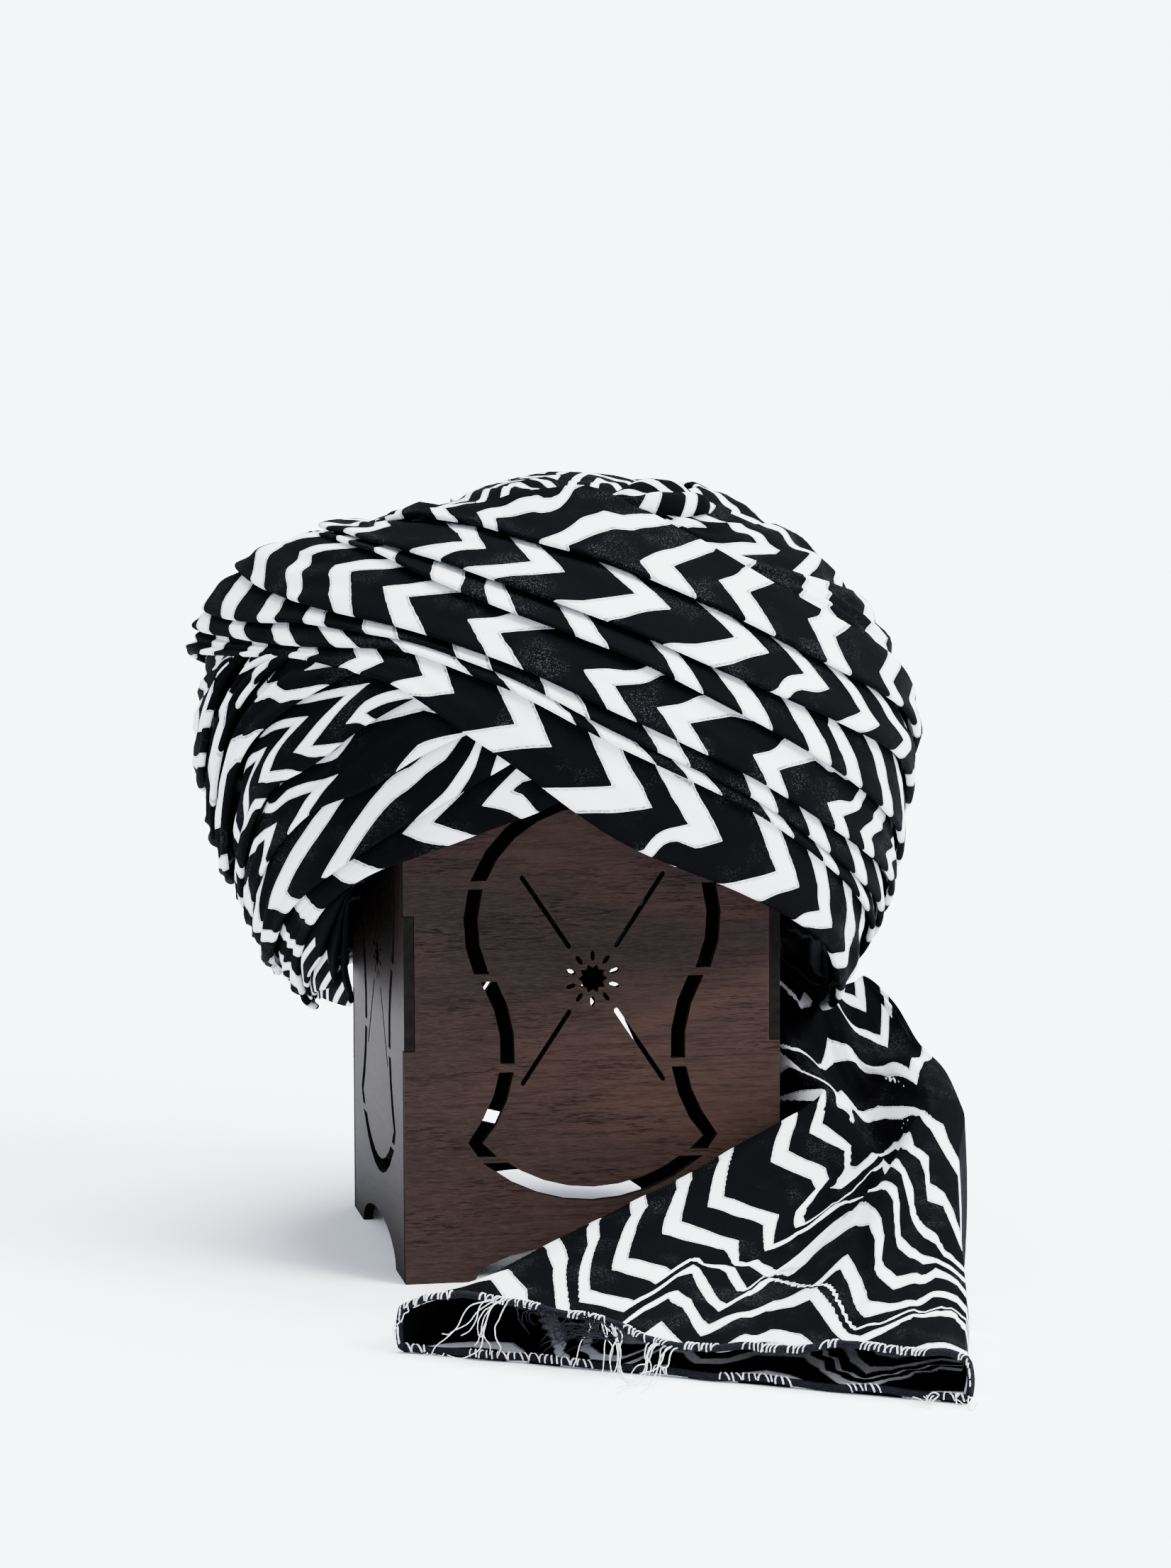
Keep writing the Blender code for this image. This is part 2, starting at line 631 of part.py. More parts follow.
def tail_ring(row, inset):
    """One section of the flattened tail, or of the hollow inside it when inset is the wall."""
    left_x, left_y, right_x, right_y, left_ridge, valley, right_ridge, right_edge = row
    width = math.hypot(right_x - left_x, right_y - left_y)
    crest = smooth_curve(
        TAIL_CREST_STOPS,
        (0.45 * left_ridge, 0.8 * left_ridge, left_ridge, valley, right_ridge,
         (right_ridge + right_edge) / 2, right_edge),
    )
    points = [(share, crest(share) - inset) for share in TAIL_TOP_SHARES]
    points += [(share, inset) for share in TAIL_FLOOR_SHARES]
    ring = []
    for share, rise in points:
        share = inset / width + share * (1 - 2 * inset / width)
        x = BOX_CENTRE[0] + left_x + (right_x - left_x) * share
        y = BOX_CENTRE[1] + left_y + (right_y - left_y) * share
        ring.append((x * MM, y * MM, rise * MM))
    return ring


def build_tail(home):
    """One hollow sleeve of folded cloth, open at the hem."""
    cloth = material("tail_voile", (0.20, 0.20, 0.21), 0.85)
    outer = [tail_ring(row, 0.0) for row in TAIL_SECTIONS]
    inner = [tail_ring(row, TAIL_WALL) for row in TAIL_SECTIONS[:-1]]
    loft("tail_cloth", inner[::-1] + outer, False, cloth, home)


def main():
    clear_scene()
    home = collection("turban_on_display_box")
    over = {name: closed_crease(OVER_AZIMUTHS, heights) for name, heights in OVER_CREASES.items()}
    under = {name: open_crease(UNDER_AZIMUTHS, heights) for name, heights in UNDER_CREASES.items()}
    back = {name: open_crease(BACK_AZIMUTHS, heights) for name, heights in BACK_CREASES.items()}
    crown = closed_crease(OVER_AZIMUTHS, CROWN_EDGE)
    build_box(home)
    build_core(home, over, under, crown)
    build_crown(home, crown)
    build_over_wraps(home, over)
    build_under_wraps(home, over, under)
    build_back_wraps(home, over, back, crown)
    build_tucked_fold(home)
    build_tail(home)


main()
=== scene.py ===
import math
from bisect import bisect_right

import bpy
import numpy as np
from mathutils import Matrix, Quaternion, Vector, noise


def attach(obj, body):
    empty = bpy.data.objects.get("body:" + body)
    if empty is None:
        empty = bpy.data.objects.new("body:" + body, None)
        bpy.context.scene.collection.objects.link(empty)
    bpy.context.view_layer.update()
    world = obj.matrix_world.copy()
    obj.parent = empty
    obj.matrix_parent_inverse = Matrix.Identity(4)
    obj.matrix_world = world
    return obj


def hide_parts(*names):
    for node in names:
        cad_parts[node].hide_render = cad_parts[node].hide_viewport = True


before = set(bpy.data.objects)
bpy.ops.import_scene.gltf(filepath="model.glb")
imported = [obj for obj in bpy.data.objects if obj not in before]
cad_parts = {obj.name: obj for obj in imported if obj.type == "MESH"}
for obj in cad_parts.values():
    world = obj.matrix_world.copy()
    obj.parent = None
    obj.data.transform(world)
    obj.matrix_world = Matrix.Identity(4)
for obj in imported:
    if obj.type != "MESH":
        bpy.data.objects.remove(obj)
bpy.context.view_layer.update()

print("frame loaded")

# Sizes in this file are millimetres, and the cloth's directions are degrees round its middle:
# azimuth 0 is the front, 90 the right side, -90 the left side, and height is the angle above it.
mm = 0.001

form = {
    "middle": (0.0, 86.0, 205.0),
    "halfWidth": 144.0, "halfDepth": 148.0, "rise": 104.5, "drop": 149.5,
    "rightLobeDrop": 15.5, "rightSidePull": 0.025, "rightPullDegrees": 8.0,
    "sideRoundness": 2.3, "topRoundness": 2.1, "rightShoulderSlope": 0.2,
    "bunch": (-106.0, 23.0, 9.0, 13.0),  # azimuth, height, rise and spread
    "hollowHalf": (84.5, 86.0), "hollowShift": (3.0, 20.0), "hollowSquareness": 8.0,
    "boxTop": 240.3,
}

overAzimuths = (-150, -120, -100, -80, -60, -40, -20, 0, 20, 40, 60, 90, 120, 150, 180)
overCreases = {
    "lip":       (48, 54, 56, 58, 59, 60, 63, 64, 54, 31, 18, 4, 4, 15, 33),
    "shoulder":  (42, 47, 49, 50, 52, 51, 46, 39, 28, 16, 7, -6, -6, 5, 23),
    "cordTop":   (32, 38, 41, 43, 42, 39, 33, 25, 15, 6, -2, -15, -17, -6, 12),
    "cordFoot":  (29, 35, 39, 41, 40, 35, 28, 20, 9, -2, -12, -24, -24, -12, 7),
    "middle":    (20, 25, 27, 27, 26, 24, 19, 10, 0, -11, -20, -31, -31, -20, -2),
    "fineFoot":  (14, 18, 19, 21, 23, 22, 17, 7, -3, -15, -25, -36, -36, -25, -8),
    "brow":      (12, 15, 16, 18, 19, 20, 15, 5, -5, -17, -28, -41, -40, -29, -12),
    "lowerEdge": (-6, 7, 12, 15, 17, 15, 5, -9, -18, -28, -41, -49, -45, -36, -24),
}
crownEdge = (49, 55, 57, 59, 61, 62, 65, 66, 62, 61, 61, 61, 61, 60, 56)
underAzimuths = (0, -10, -20, -30, -40, -50, -60, -70, -80, -90, -110, -135, -160, -180, -205, -230)
underCreases = {
    "rim":    (3, -3, -7, -11, -15, -21, -29, -37, -44, -48, -48, -45, -45, -46, -45, -43),
    "front":  (12, 7, 1, -5, -11, -17, -23, -30, -36, -40, -41, -39, -39, -39, -38, -37),
    "cheek":  (21, 15, 9, 4, -2, -6, -13, -21, -28, -33, -34, -32, -31, -31, -30, -30),
    "temple": (30, 25, 20, 14, 8, 1, -4, -14, -23, -28, -31, -31, -28, -25, -23, -26),
    "side":   (40, 35, 30, 24, 18, 13, 7, -1, -16, -23, -26, -26, -22, -18, -15, -18),
    "ear":    (50, 45, 40, 34, 30, 25, 18, 9, -4, -16, -20, -20, -15, -10, -7, -10),
    "high":   (60, 55, 50, 44, 40, 35, 30, 22, 10, -5, -11, -12, -7, -2, 2, 0),
    "hidden": (90,) * 16,
}
backAzimuths = (0, 10, 20, 30, 40, 50, 60, 75, 90, 110, 130, 150, 165, 180, 195, 210, 228)
backCreases = {
    "upper": (65, 62, 57, 52, 49, 48, 47, 45, 43, 40, 40, 44, 47, 49, 49, 49, 52),
    "lower": (65, 61, 54, 43, 39, 36, 33, 28, 24, 20, 21, 28, 35, 41, 44, 48, 52),
}


def smoothCurve(stops, values):  # rises and falls only where the values do
    if stops[0] > stops[-1]:
        stops, values = stops[::-1], values[::-1]
    steps = [b - a for a, b in zip(stops, stops[1:])]
    slopes = [(b - a) / step for a, b, step in zip(values, values[1:], steps)]
    bends = [slopes[0]]
    for before, after in zip(slopes, slopes[1:]):
        bends.append(0.0 if before * after <= 0 else 2 * before * after / (before + after))
    bends.append(slopes[-1])

    def read(where):
        place = min(max(bisect_right(stops, where) - 1, 0), len(steps) - 1)
        t = (where - stops[place]) / steps[place]
        start, end = bends[place] * steps[place], bends[place + 1] * steps[place]
        low, high = values[place], values[place + 1]
        return (low * (1 + 2 * t) * (1 - t) ** 2 + start * t * (1 - t) ** 2
                + high * t * t * (3 - 2 * t) + end * t * t * (t - 1))

    return read


def closedCrease(heights):
    stops = [overAzimuths[-1] - 360, *overAzimuths, overAzimuths[0] + 360]
    return smoothCurve(stops, [heights[-1], *heights, heights[0]])


def evenly(count):  # the shares from 0 to 1 in even steps
    return [step / count for step in range(count + 1)]


def lookUp(table, where, column=1):  # a value between a table's rows
    return float(np.interp(where, [row[0] for row in table], [row[column] for row in table]))


over = {name: closedCrease(heights) for name, heights in overCreases.items()}
under = {name: smoothCurve(underAzimuths, heights) for name, heights in underCreases.items()}
back = {name: smoothCurve(backAzimuths, heights) for name, heights in backCreases.items()}
crownLine = closedCrease(crownEdge)


def turned(azimuth):  # the same direction, from -180 to 180
    return (azimuth + 180) % 360 - 180


def outerRadius(azimuth, height):  # how far the wound cloth reaches in a direction
    turn, climb = math.radians(azimuth), math.radians(height)
    across = math.hypot(math.sin(turn) / form["halfWidth"], math.cos(turn) / form["halfDepth"])
    right = max(0.0, math.sin(turn))
    if climb > 0:
        tall = form["rise"]
        power = form["topRoundness"] - form["rightShoulderSlope"] * right
    else:
        tall = form["drop"] + form["rightLobeDrop"] * math.sin(turn)
        power = form["sideRoundness"]
        pull = form["rightSidePull"] * (1 - math.exp(height / form["rightPullDegrees"]))
        across /= 1 - pull * right
    level = (math.cos(climb) * across) ** power
    upright = (abs(math.sin(climb)) / tall) ** power
    side, lift, rise, spread = form["bunch"]
    away = math.hypot(turned(azimuth - side), height - lift) / spread
    return (level + upright) ** (-1 / power) + rise * math.exp(-away * away)


def levelPoint(azimuth, out, up):  # out and up from the turban's middle
    turn = math.radians(azimuth)
    x, y, z = form["middle"]
    return ((x + out * math.sin(turn)) * mm, (y - out * math.cos(turn)) * mm, (z + up) * mm)


def turbanPoint(azimuth, height, radius):
    climb = math.radians(height)
    return levelPoint(azimuth, radius * math.cos(climb), radius * math.sin(climb))


def hollowReach(azimuth, half=form["hollowHalf"], shift=(0.0, 0.0),
                squareness=form["hollowSquareness"]):
    turn = math.radians(azimuth)
    low, high = 0.0, form["halfDepth"]
    for _ in range(24):
        reach = (low + high) / 2
        x = reach * math.sin(turn) + form["hollowShift"][0] - shift[0]
        y = -reach * math.cos(turn) + form["hollowShift"][1] - shift[1]
        inside = abs(x / half[0]) ** squareness + abs(y / half[1]) ** squareness < 1
        low, high = (reach, high) if inside else (low, reach)
    return low


# The camera stands where the photograph was taken from
photoCamera = {"place": (-413.4, -2371.9, 546.2), "aim": (7.3, 66.0, 186.2), "roll": -0.18,
               "lens": 142.3, "sensorHeight": 36.0, "clip": (0.05, 60)}
bpy.ops.object.camera_add(location=[mm * v for v in photoCamera["place"]])
camera = bpy.context.object
camera.name = "photoCamera"
aim = (Vector(photoCamera["aim"]) - Vector(photoCamera["place"])).normalized()
camera.rotation_mode = "QUATERNION"
camera.rotation_quaternion = (aim.to_track_quat("-Z", "Y")
                              @ Quaternion((0, 0, 1), math.radians(photoCamera["roll"])))
camera.data.sensor_fit = "VERTICAL"
camera.data.sensor_height = photoCamera["sensorHeight"]
camera.data.lens = photoCamera["lens"]
camera.data.clip_start, camera.data.clip_end = photoCamera["clip"]
bpy.context.scene.camera = camera
print("camera placed")


# Shader nodes, where a value is a number, a colour or another node's output
class nodeKit:
    def __init__(self, tree):
        self.tree = tree

    def fill(self, node, values):
        for key, value in values.items() if isinstance(values, dict) else enumerate(values):
            if isinstance(value, bpy.types.NodeSocket):
                self.tree.links.new(value, node.inputs[key])
            elif value is not None:
                node.inputs[key].default_value = value
        return node

    def add(self, kind, values=(), **settings):
        node = self.tree.nodes.new("ShaderNode" + kind)
        for key, value in settings.items():
            setattr(node, key, value)
        return self.fill(node, values)

    def maths(self, operation, *values):
        return self.add("Math", values, operation=operation).outputs[0]

    def times(self, a, b):
        return self.maths("MULTIPLY", a, b)

    def plus(self, a, b):
        return self.maths("ADD", a, b)

    def minus(self, a, b):
        return self.maths("SUBTRACT", a, b)

    def soft(self, value, low, high):  # 0 below low, 1 above high
        return self.add("MapRange", (value, low, high), interpolation_type="SMOOTHSTEP").outputs[0]

    def mix(self, share, *colours):
        first, second = [(*c, 1) if isinstance(c, (tuple, list)) else c for c in colours]
        return self.add("Mix", {0: share, 6: first, 7: second}, data_type="RGBA").outputs[2]

    def grain(self, place, scale, detail=3.0, roughness=0.5, distortion=0.0, stretch=None):
        if stretch:
            place = self.add("Mapping", {"Vector": place, "Scale": stretch}).outputs[0]
        return self.add("TexNoise", {"Vector": place, "Scale": scale, "Detail": detail,
                                     "Roughness": roughness, "Distortion": distortion}).outputs[0]


def newGroup(name, inputs, outputs):
    group = bpy.data.node_groups.new(name, "ShaderNodeTree")
    for way, sockets in (("INPUT", inputs), ("OUTPUT", outputs)):
        for label, kind, *value in sockets:
            socket = group.interface.new_socket(name=label, in_out=way, socket_type=kind)
            if value:
                socket.default_value = value[0]
    return (nodeKit(group), group.nodes.new("NodeGroupInput").outputs,
            group.nodes.new("NodeGroupOutput"))


def newMaterial(name, roughness, specular):
    made = bpy.data.materials.new(name)
    made.use_nodes = True
    kit, shader = nodeKit(made.node_tree), made.node_tree.nodes["Principled BSDF"]
    kit.fill(shader, {"Roughness": roughness, "Specular IOR Level": specular})
    return made, kit, shader, kit.add("TexCoord").outputs["Object"]


def dress(kit, shader, colour, height, strength, depth):  # the shader's colour and bump
    bump = kit.add("Bump", {"Strength": strength, "Distance": depth, "Height": height})
    kit.fill(shader, {"Base Color": colour, "Normal": bump.outputs[0]})


floatSocket, vectorSocket = "NodeSocketFloat", "NodeSocketVector"

stripeShare = 0.44  # the white part of the print

# The print: white zigzag stripes. The print map holds the stripe's number along the cloth and the
# half periods across it: stripes point left at even numbers across and right at odd ones.
zigzag = {
    "sway": (55.0, 0.16), "shiver": (330.0, 0.05),  # how fine and how far the edges wander
    "edge": 0.012, "inset": 0.026,
    "line": (0.006, 0.02, 0.034, 0.06),  # the grey line's start and end inside the edge
    "lineStrengths": (1.0, 0.75),
}


def makeZigzag():
    kit, given, made = newGroup(
        "zigzagPrint",
        [("Print", vectorSocket), ("Place", vectorSocket),
         ("Stripe", floatSocket, stripeShare), ("Wobble", floatSocket, 1.0)],
        [("White", floatSocket), ("Outline", floatSocket)])
    place, edge, inset = given["Place"], zigzag["edge"], zigzag["inset"]
    sway, shiver = [kit.times(kit.minus(kit.grain(place, fine, 2.0), 0.5), far)
                    for fine, far in (zigzag["sway"], zigzag["shiver"])]
    wobble = kit.times(kit.plus(sway, shiver), given["Wobble"])
    split = kit.add("SeparateXYZ", [given["Print"]]).outputs
    points = kit.maths("PINGPONG", kit.plus(split[1], wobble), 1.0)
    share = kit.maths("FRACT", kit.plus(kit.minus(split[0], points), wobble))
    share, width = kit.minus(share, inset), kit.minus(given["Stripe"], 2 * inset)
    fall = kit.minus(1.0, kit.soft(share, kit.minus(width, edge), width))
    white = kit.times(kit.soft(share, 0.0, edge), fall)
    # a grey line runs just inside the stripe's edges, where the black was printed over it
    lines = []
    for away, strength in zip((kit.minus(width, share), share), zigzag["lineStrengths"]):
        near = kit.times(kit.soft(away, *zigzag["line"][:2]),
                         kit.minus(1.0, kit.soft(away, *zigzag["line"][2:])))
        lines.append(kit.times(near, strength))
    uneven = kit.soft(kit.grain(place, 900.0, 1.0), 0.3, 0.62)
    line = kit.times(kit.maths("MAXIMUM", *lines), kit.maths("MULTIPLY_ADD", uneven, 0.6, 0.4))
    kit.fill(made, {"White": white, "Outline": kit.times(line, white)})
    return kit.tree


# Plain weave seen close, with loose fibres: the cloth map is in metres along and across
weaveLook = {"threads": 1500.0, "slub": (90.0, 1400.0, 1.0), "patch": 42.0, "dust": 1700.0}


def makeWeave():
    kit, given, made = newGroup(
        "voileWeave",
        [("Cloth", vectorSocket), ("Place", vectorSocket),
         ("Threads", floatSocket, weaveLook["threads"])],
        [("Height", floatSocket), ("Thread", floatSocket), ("Fibre", floatSocket)])
    split = kit.add("SeparateXYZ", [given["Cloth"]]).outputs
    crossing = kit.times(*[
        kit.maths("SINE", kit.times(kit.times(split[way], given["Threads"]), math.tau))
        for way in (0, 1)])
    slub = kit.grain(given["Cloth"], 1.0, 2.0, stretch=weaveLook["slub"])
    patch = kit.soft(kit.grain(given["Place"], weaveLook["patch"], 3.0), 0.5, 0.68)
    dust = kit.soft(kit.grain(given["Place"], weaveLook["dust"], 1.0, 0.4), 0.53, 0.68)
    kit.fill(made, {"Height": kit.plus(kit.times(crossing, 0.5), slub),
                    "Thread": kit.maths("MULTIPLY_ADD", crossing, 0.5, 0.5),
                    "Fibre": kit.times(patch, dust)})
    return kit.tree


zigzagPrint, voileWeave = makeZigzag(), makeWeave()
clothLook = {
    "roughness": 0.92, "specular": 0.01, "worn": (0.55, 0.57, 0.62),
    "printedVoile": {"black": (0.0009, 0.00095, 0.0012), "white": (0.66, 0.67, 0.695),
                     "wobble": 0.3, "fibre": 0.02, "stripe": stripeShare},
    # the wound cloth is the same print with a darker black and a narrow, near black white: painted
    # shade
    "shadedWoundVoile": {"black": (0.0007, 0.0008, 0.0010), "white": (0.016, 0.017, 0.019),
                   "wobble": 1.0, "fibre": 0.004, "stripe": 0.3},
}


def tinted(colour, share):
    return [share * v for v in colour]


def clothMaterial(name):
    look = clothLook[name]
    made, kit, shader, place = newMaterial(name, clothLook["roughness"], clothLook["specular"])
    printMap, clothMap = [kit.add("UVMap", uv_map=label).outputs[0] for label in ("print", "cloth")]
    pattern = kit.add("Group", {"Print": printMap, "Place": place, "Wobble": look["wobble"],
                                "Stripe": look["stripe"]}, node_tree=zigzagPrint).outputs
    weave = kit.add("Group", {"Cloth": clothMap, "Place": place}, node_tree=voileWeave).outputs
    mottle = kit.grain(place, 75.0, 3.0)
    darkest = kit.mix(mottle, tinted(look["black"], 0.75), tinted(look["black"], 1.3))
    black = kit.mix(kit.times(weave["Fibre"], look["fibre"]), darkest, clothLook["worn"])
    white = kit.mix(kit.times(weave["Thread"], 0.22), look["white"], tinted(look["white"], 0.62))
    colour = kit.mix(pattern["White"], black, white)
    colour = kit.mix(kit.times(pattern["Outline"], 0.9), colour, tinted(look["white"], 0.07))
    dress(kit, shader, colour, weave["Height"], 0.35, 0.00035)
    return made


printedCloth, shadedWoundCloth = clothMaterial("printedVoile"), clothMaterial("shadedWoundVoile")


def newPiece(name, mesh, merge=None, flatten=None):  # with its faces outwards
    piece = bpy.data.objects.new(name, mesh)
    bpy.context.collection.objects.link(piece)
    bpy.ops.object.select_all(action="DESELECT")
    piece.select_set(True)
    bpy.context.view_layer.objects.active = piece
    bpy.ops.object.mode_set(mode="EDIT")
    bpy.ops.mesh.select_all(action="SELECT")
    if merge:
        bpy.ops.mesh.remove_doubles(threshold=merge)
    if flatten:
        bpy.ops.mesh.dissolve_limited(angle_limit=flatten)
    bpy.ops.mesh.normals_make_consistent(inside=False)
    bpy.ops.object.mode_set(mode="OBJECT")
    return piece


def settle(piece, slot, node=None):
    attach(piece, "root")
    if node:
        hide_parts(node)


def smoothMesh(name, points, faces, material):
    mesh = bpy.data.meshes.new(name)
    mesh.from_pydata(points, [], faces)
    mesh.polygons.foreach_set("use_smooth", [True] * len(faces))
    mesh.materials.append(material)
    return mesh


# A grid of points becomes a piece of cloth, with a print map and a cloth map on its corners.
# The last column may meet the first one, and the last point of a column always meets its first.
def clothPiece(name, points, printMap, clothMap, material, closed, merge=None):
    columns, rows = points.shape[:2]
    place = np.arange(columns * rows).reshape(columns, rows)
    near = np.arange(columns if closed else columns - 1)
    far, step = (near + 1) % columns, (np.arange(rows) + 1) % rows
    quads = np.stack([place[near], place[near][:, step], place[far][:, step], place[far]], -1)
    faces = quads.reshape(-1, 4).tolist()
    maps = {}
    for label, grid in (("print", printMap), ("cloth", clothMap)):
        if grid.shape[1] == rows:
            grid = np.concatenate([grid, grid[:, :1]], 1)
        a, b = grid[:len(near)], grid[1:len(near) + 1]
        maps[label] = [np.stack([a[:, :-1], a[:, 1:], b[:, 1:], b[:, :-1]], 2).reshape(-1, 2)]
    if not closed:  # both ends are capped, in the colour of their first corner
        for ring, end in ((place[0][::-1], 0), (place[-1], -1)):
            faces.append(ring.tolist())
            maps["print"].append(np.repeat(printMap[end][:1], rows, 0))
            maps["cloth"].append(np.zeros((rows, 2)))
    mesh = smoothMesh(name, points.reshape(-1, 3).tolist(), faces, material)
    for label, parts in maps.items():
        layer = mesh.uv_layers.new(name=label)
        layer.data.foreach_set("uv", np.concatenate(parts).astype(np.float32).ravel())
    return newPiece(name, mesh, merge)


# Each column's section gives its points, print places and cloth places from bottom to top
def turbanCloth(name, azimuths, section, material, closed, pole=(), merge=None):
    columns = [section(place, azimuth) for place, azimuth in enumerate(azimuths)]
    points, prints, cloths = [np.array([[row[k] for row in column] for column in columns])
                              for k in range(3)]
    points = points[:-1] if closed else points
    for row in pole:  # rows that are brought together in one point
        points[:, row] = points[:, row].mean(0)
    return clothPiece(name, points, prints, cloths, material, closed, merge), points


def clothArea(piece):  # of one of its two faces
    return sum(face.area for face in piece.data.polygons) / 2


# How one pleat is folded: a nose is the round edge of the folded cloth
pleat = {
    "proud": 2.6, "tuck": 2.2, "nose": 1.5, "overlap": 3.2, "cloth": 1.3, "fullness": 1.5,
    "leastHeight": 1.2, "fullHeight": 14.0,  # a lower pleat stands out and is tucked in less
    "lowProud": 0.45, "lowTuck": 0.35, "noseShare": 0.3, "noseCloth": 3.0,
    "flatter": 0.25, "fade": 0.6,  # towards the middle of its face, and towards its edges
    "gathered": ((35.0, 40.0), (45.0, 35.0)),  # from where, and over how many degrees: right, left
    "wander": (2.2, 1.1), "crumple": (3.5, 38.0, 7.0), "crumpleDepth": (0.35, 0.75),
    "clearance": 1.5,  # to the hollow
    "turnedIn": 1.12,
    "columnDegrees": 1.0,
    "noseTurns": (-150, -110, -70, -35, 0, 35, 70),
    "faceShares": (0.0, 0.04, 0.09, 0.15, 0.21, 0.27, 0.33, 0.39, 0.45, 0.51, 0.57, 0.63, 0.69,
                   0.75, 0.81, 0.87, 0.92, 0.96, 1.0),
    "insideShares": (0.9, 0.7, 0.5, 0.3, 0.12),
    "stripePitch": 35.0, "leastPitch": 14.0, "pitchSpan": 10.0, "beyondEnds": 2.2,
    "black": (0.72, 0.0),  # a place in the print between two stripes, which prints the jaw pleats' shaded part plain black as painted shade
    "seedStep": 0.37,
}
unswollen = ((0.0, 0.0),)


def countCurve(stops, values, pitch, beyond):
    # the stripe's number at a place along the cloth, going on evenly past both ends
    def read(where):
        if where <= stops[0]:
            return values[0] + (where - stops[0]) / pitch
        if where >= stops[-1]:
            return values[-1] + (where - stops[-1]) / beyond
        return float(np.interp(where, stops, values))
    return read


def alongStrip(azimuths, heights):  # the length along a line on the turban, and its slope
    heights = np.array(heights)
    radii = np.array([outerRadius(a, h) for a, h in zip(azimuths, heights)])
    radius, climb = (radii[1:] + radii[:-1]) / 2, np.radians((heights[1:] + heights[:-1]) / 2)
    dx = radius * np.cos(climb) * np.radians(np.diff(azimuths))
    dy = radius * np.radians(np.diff(heights))
    slopes = np.pad(np.arctan2(dy, dx), (4, 5), mode="edge")
    return (np.concatenate([[0.0], np.cumsum(np.hypot(dx, dy))]).tolist(),
            np.convolve(slopes, np.ones(9) / 9, mode="valid"))


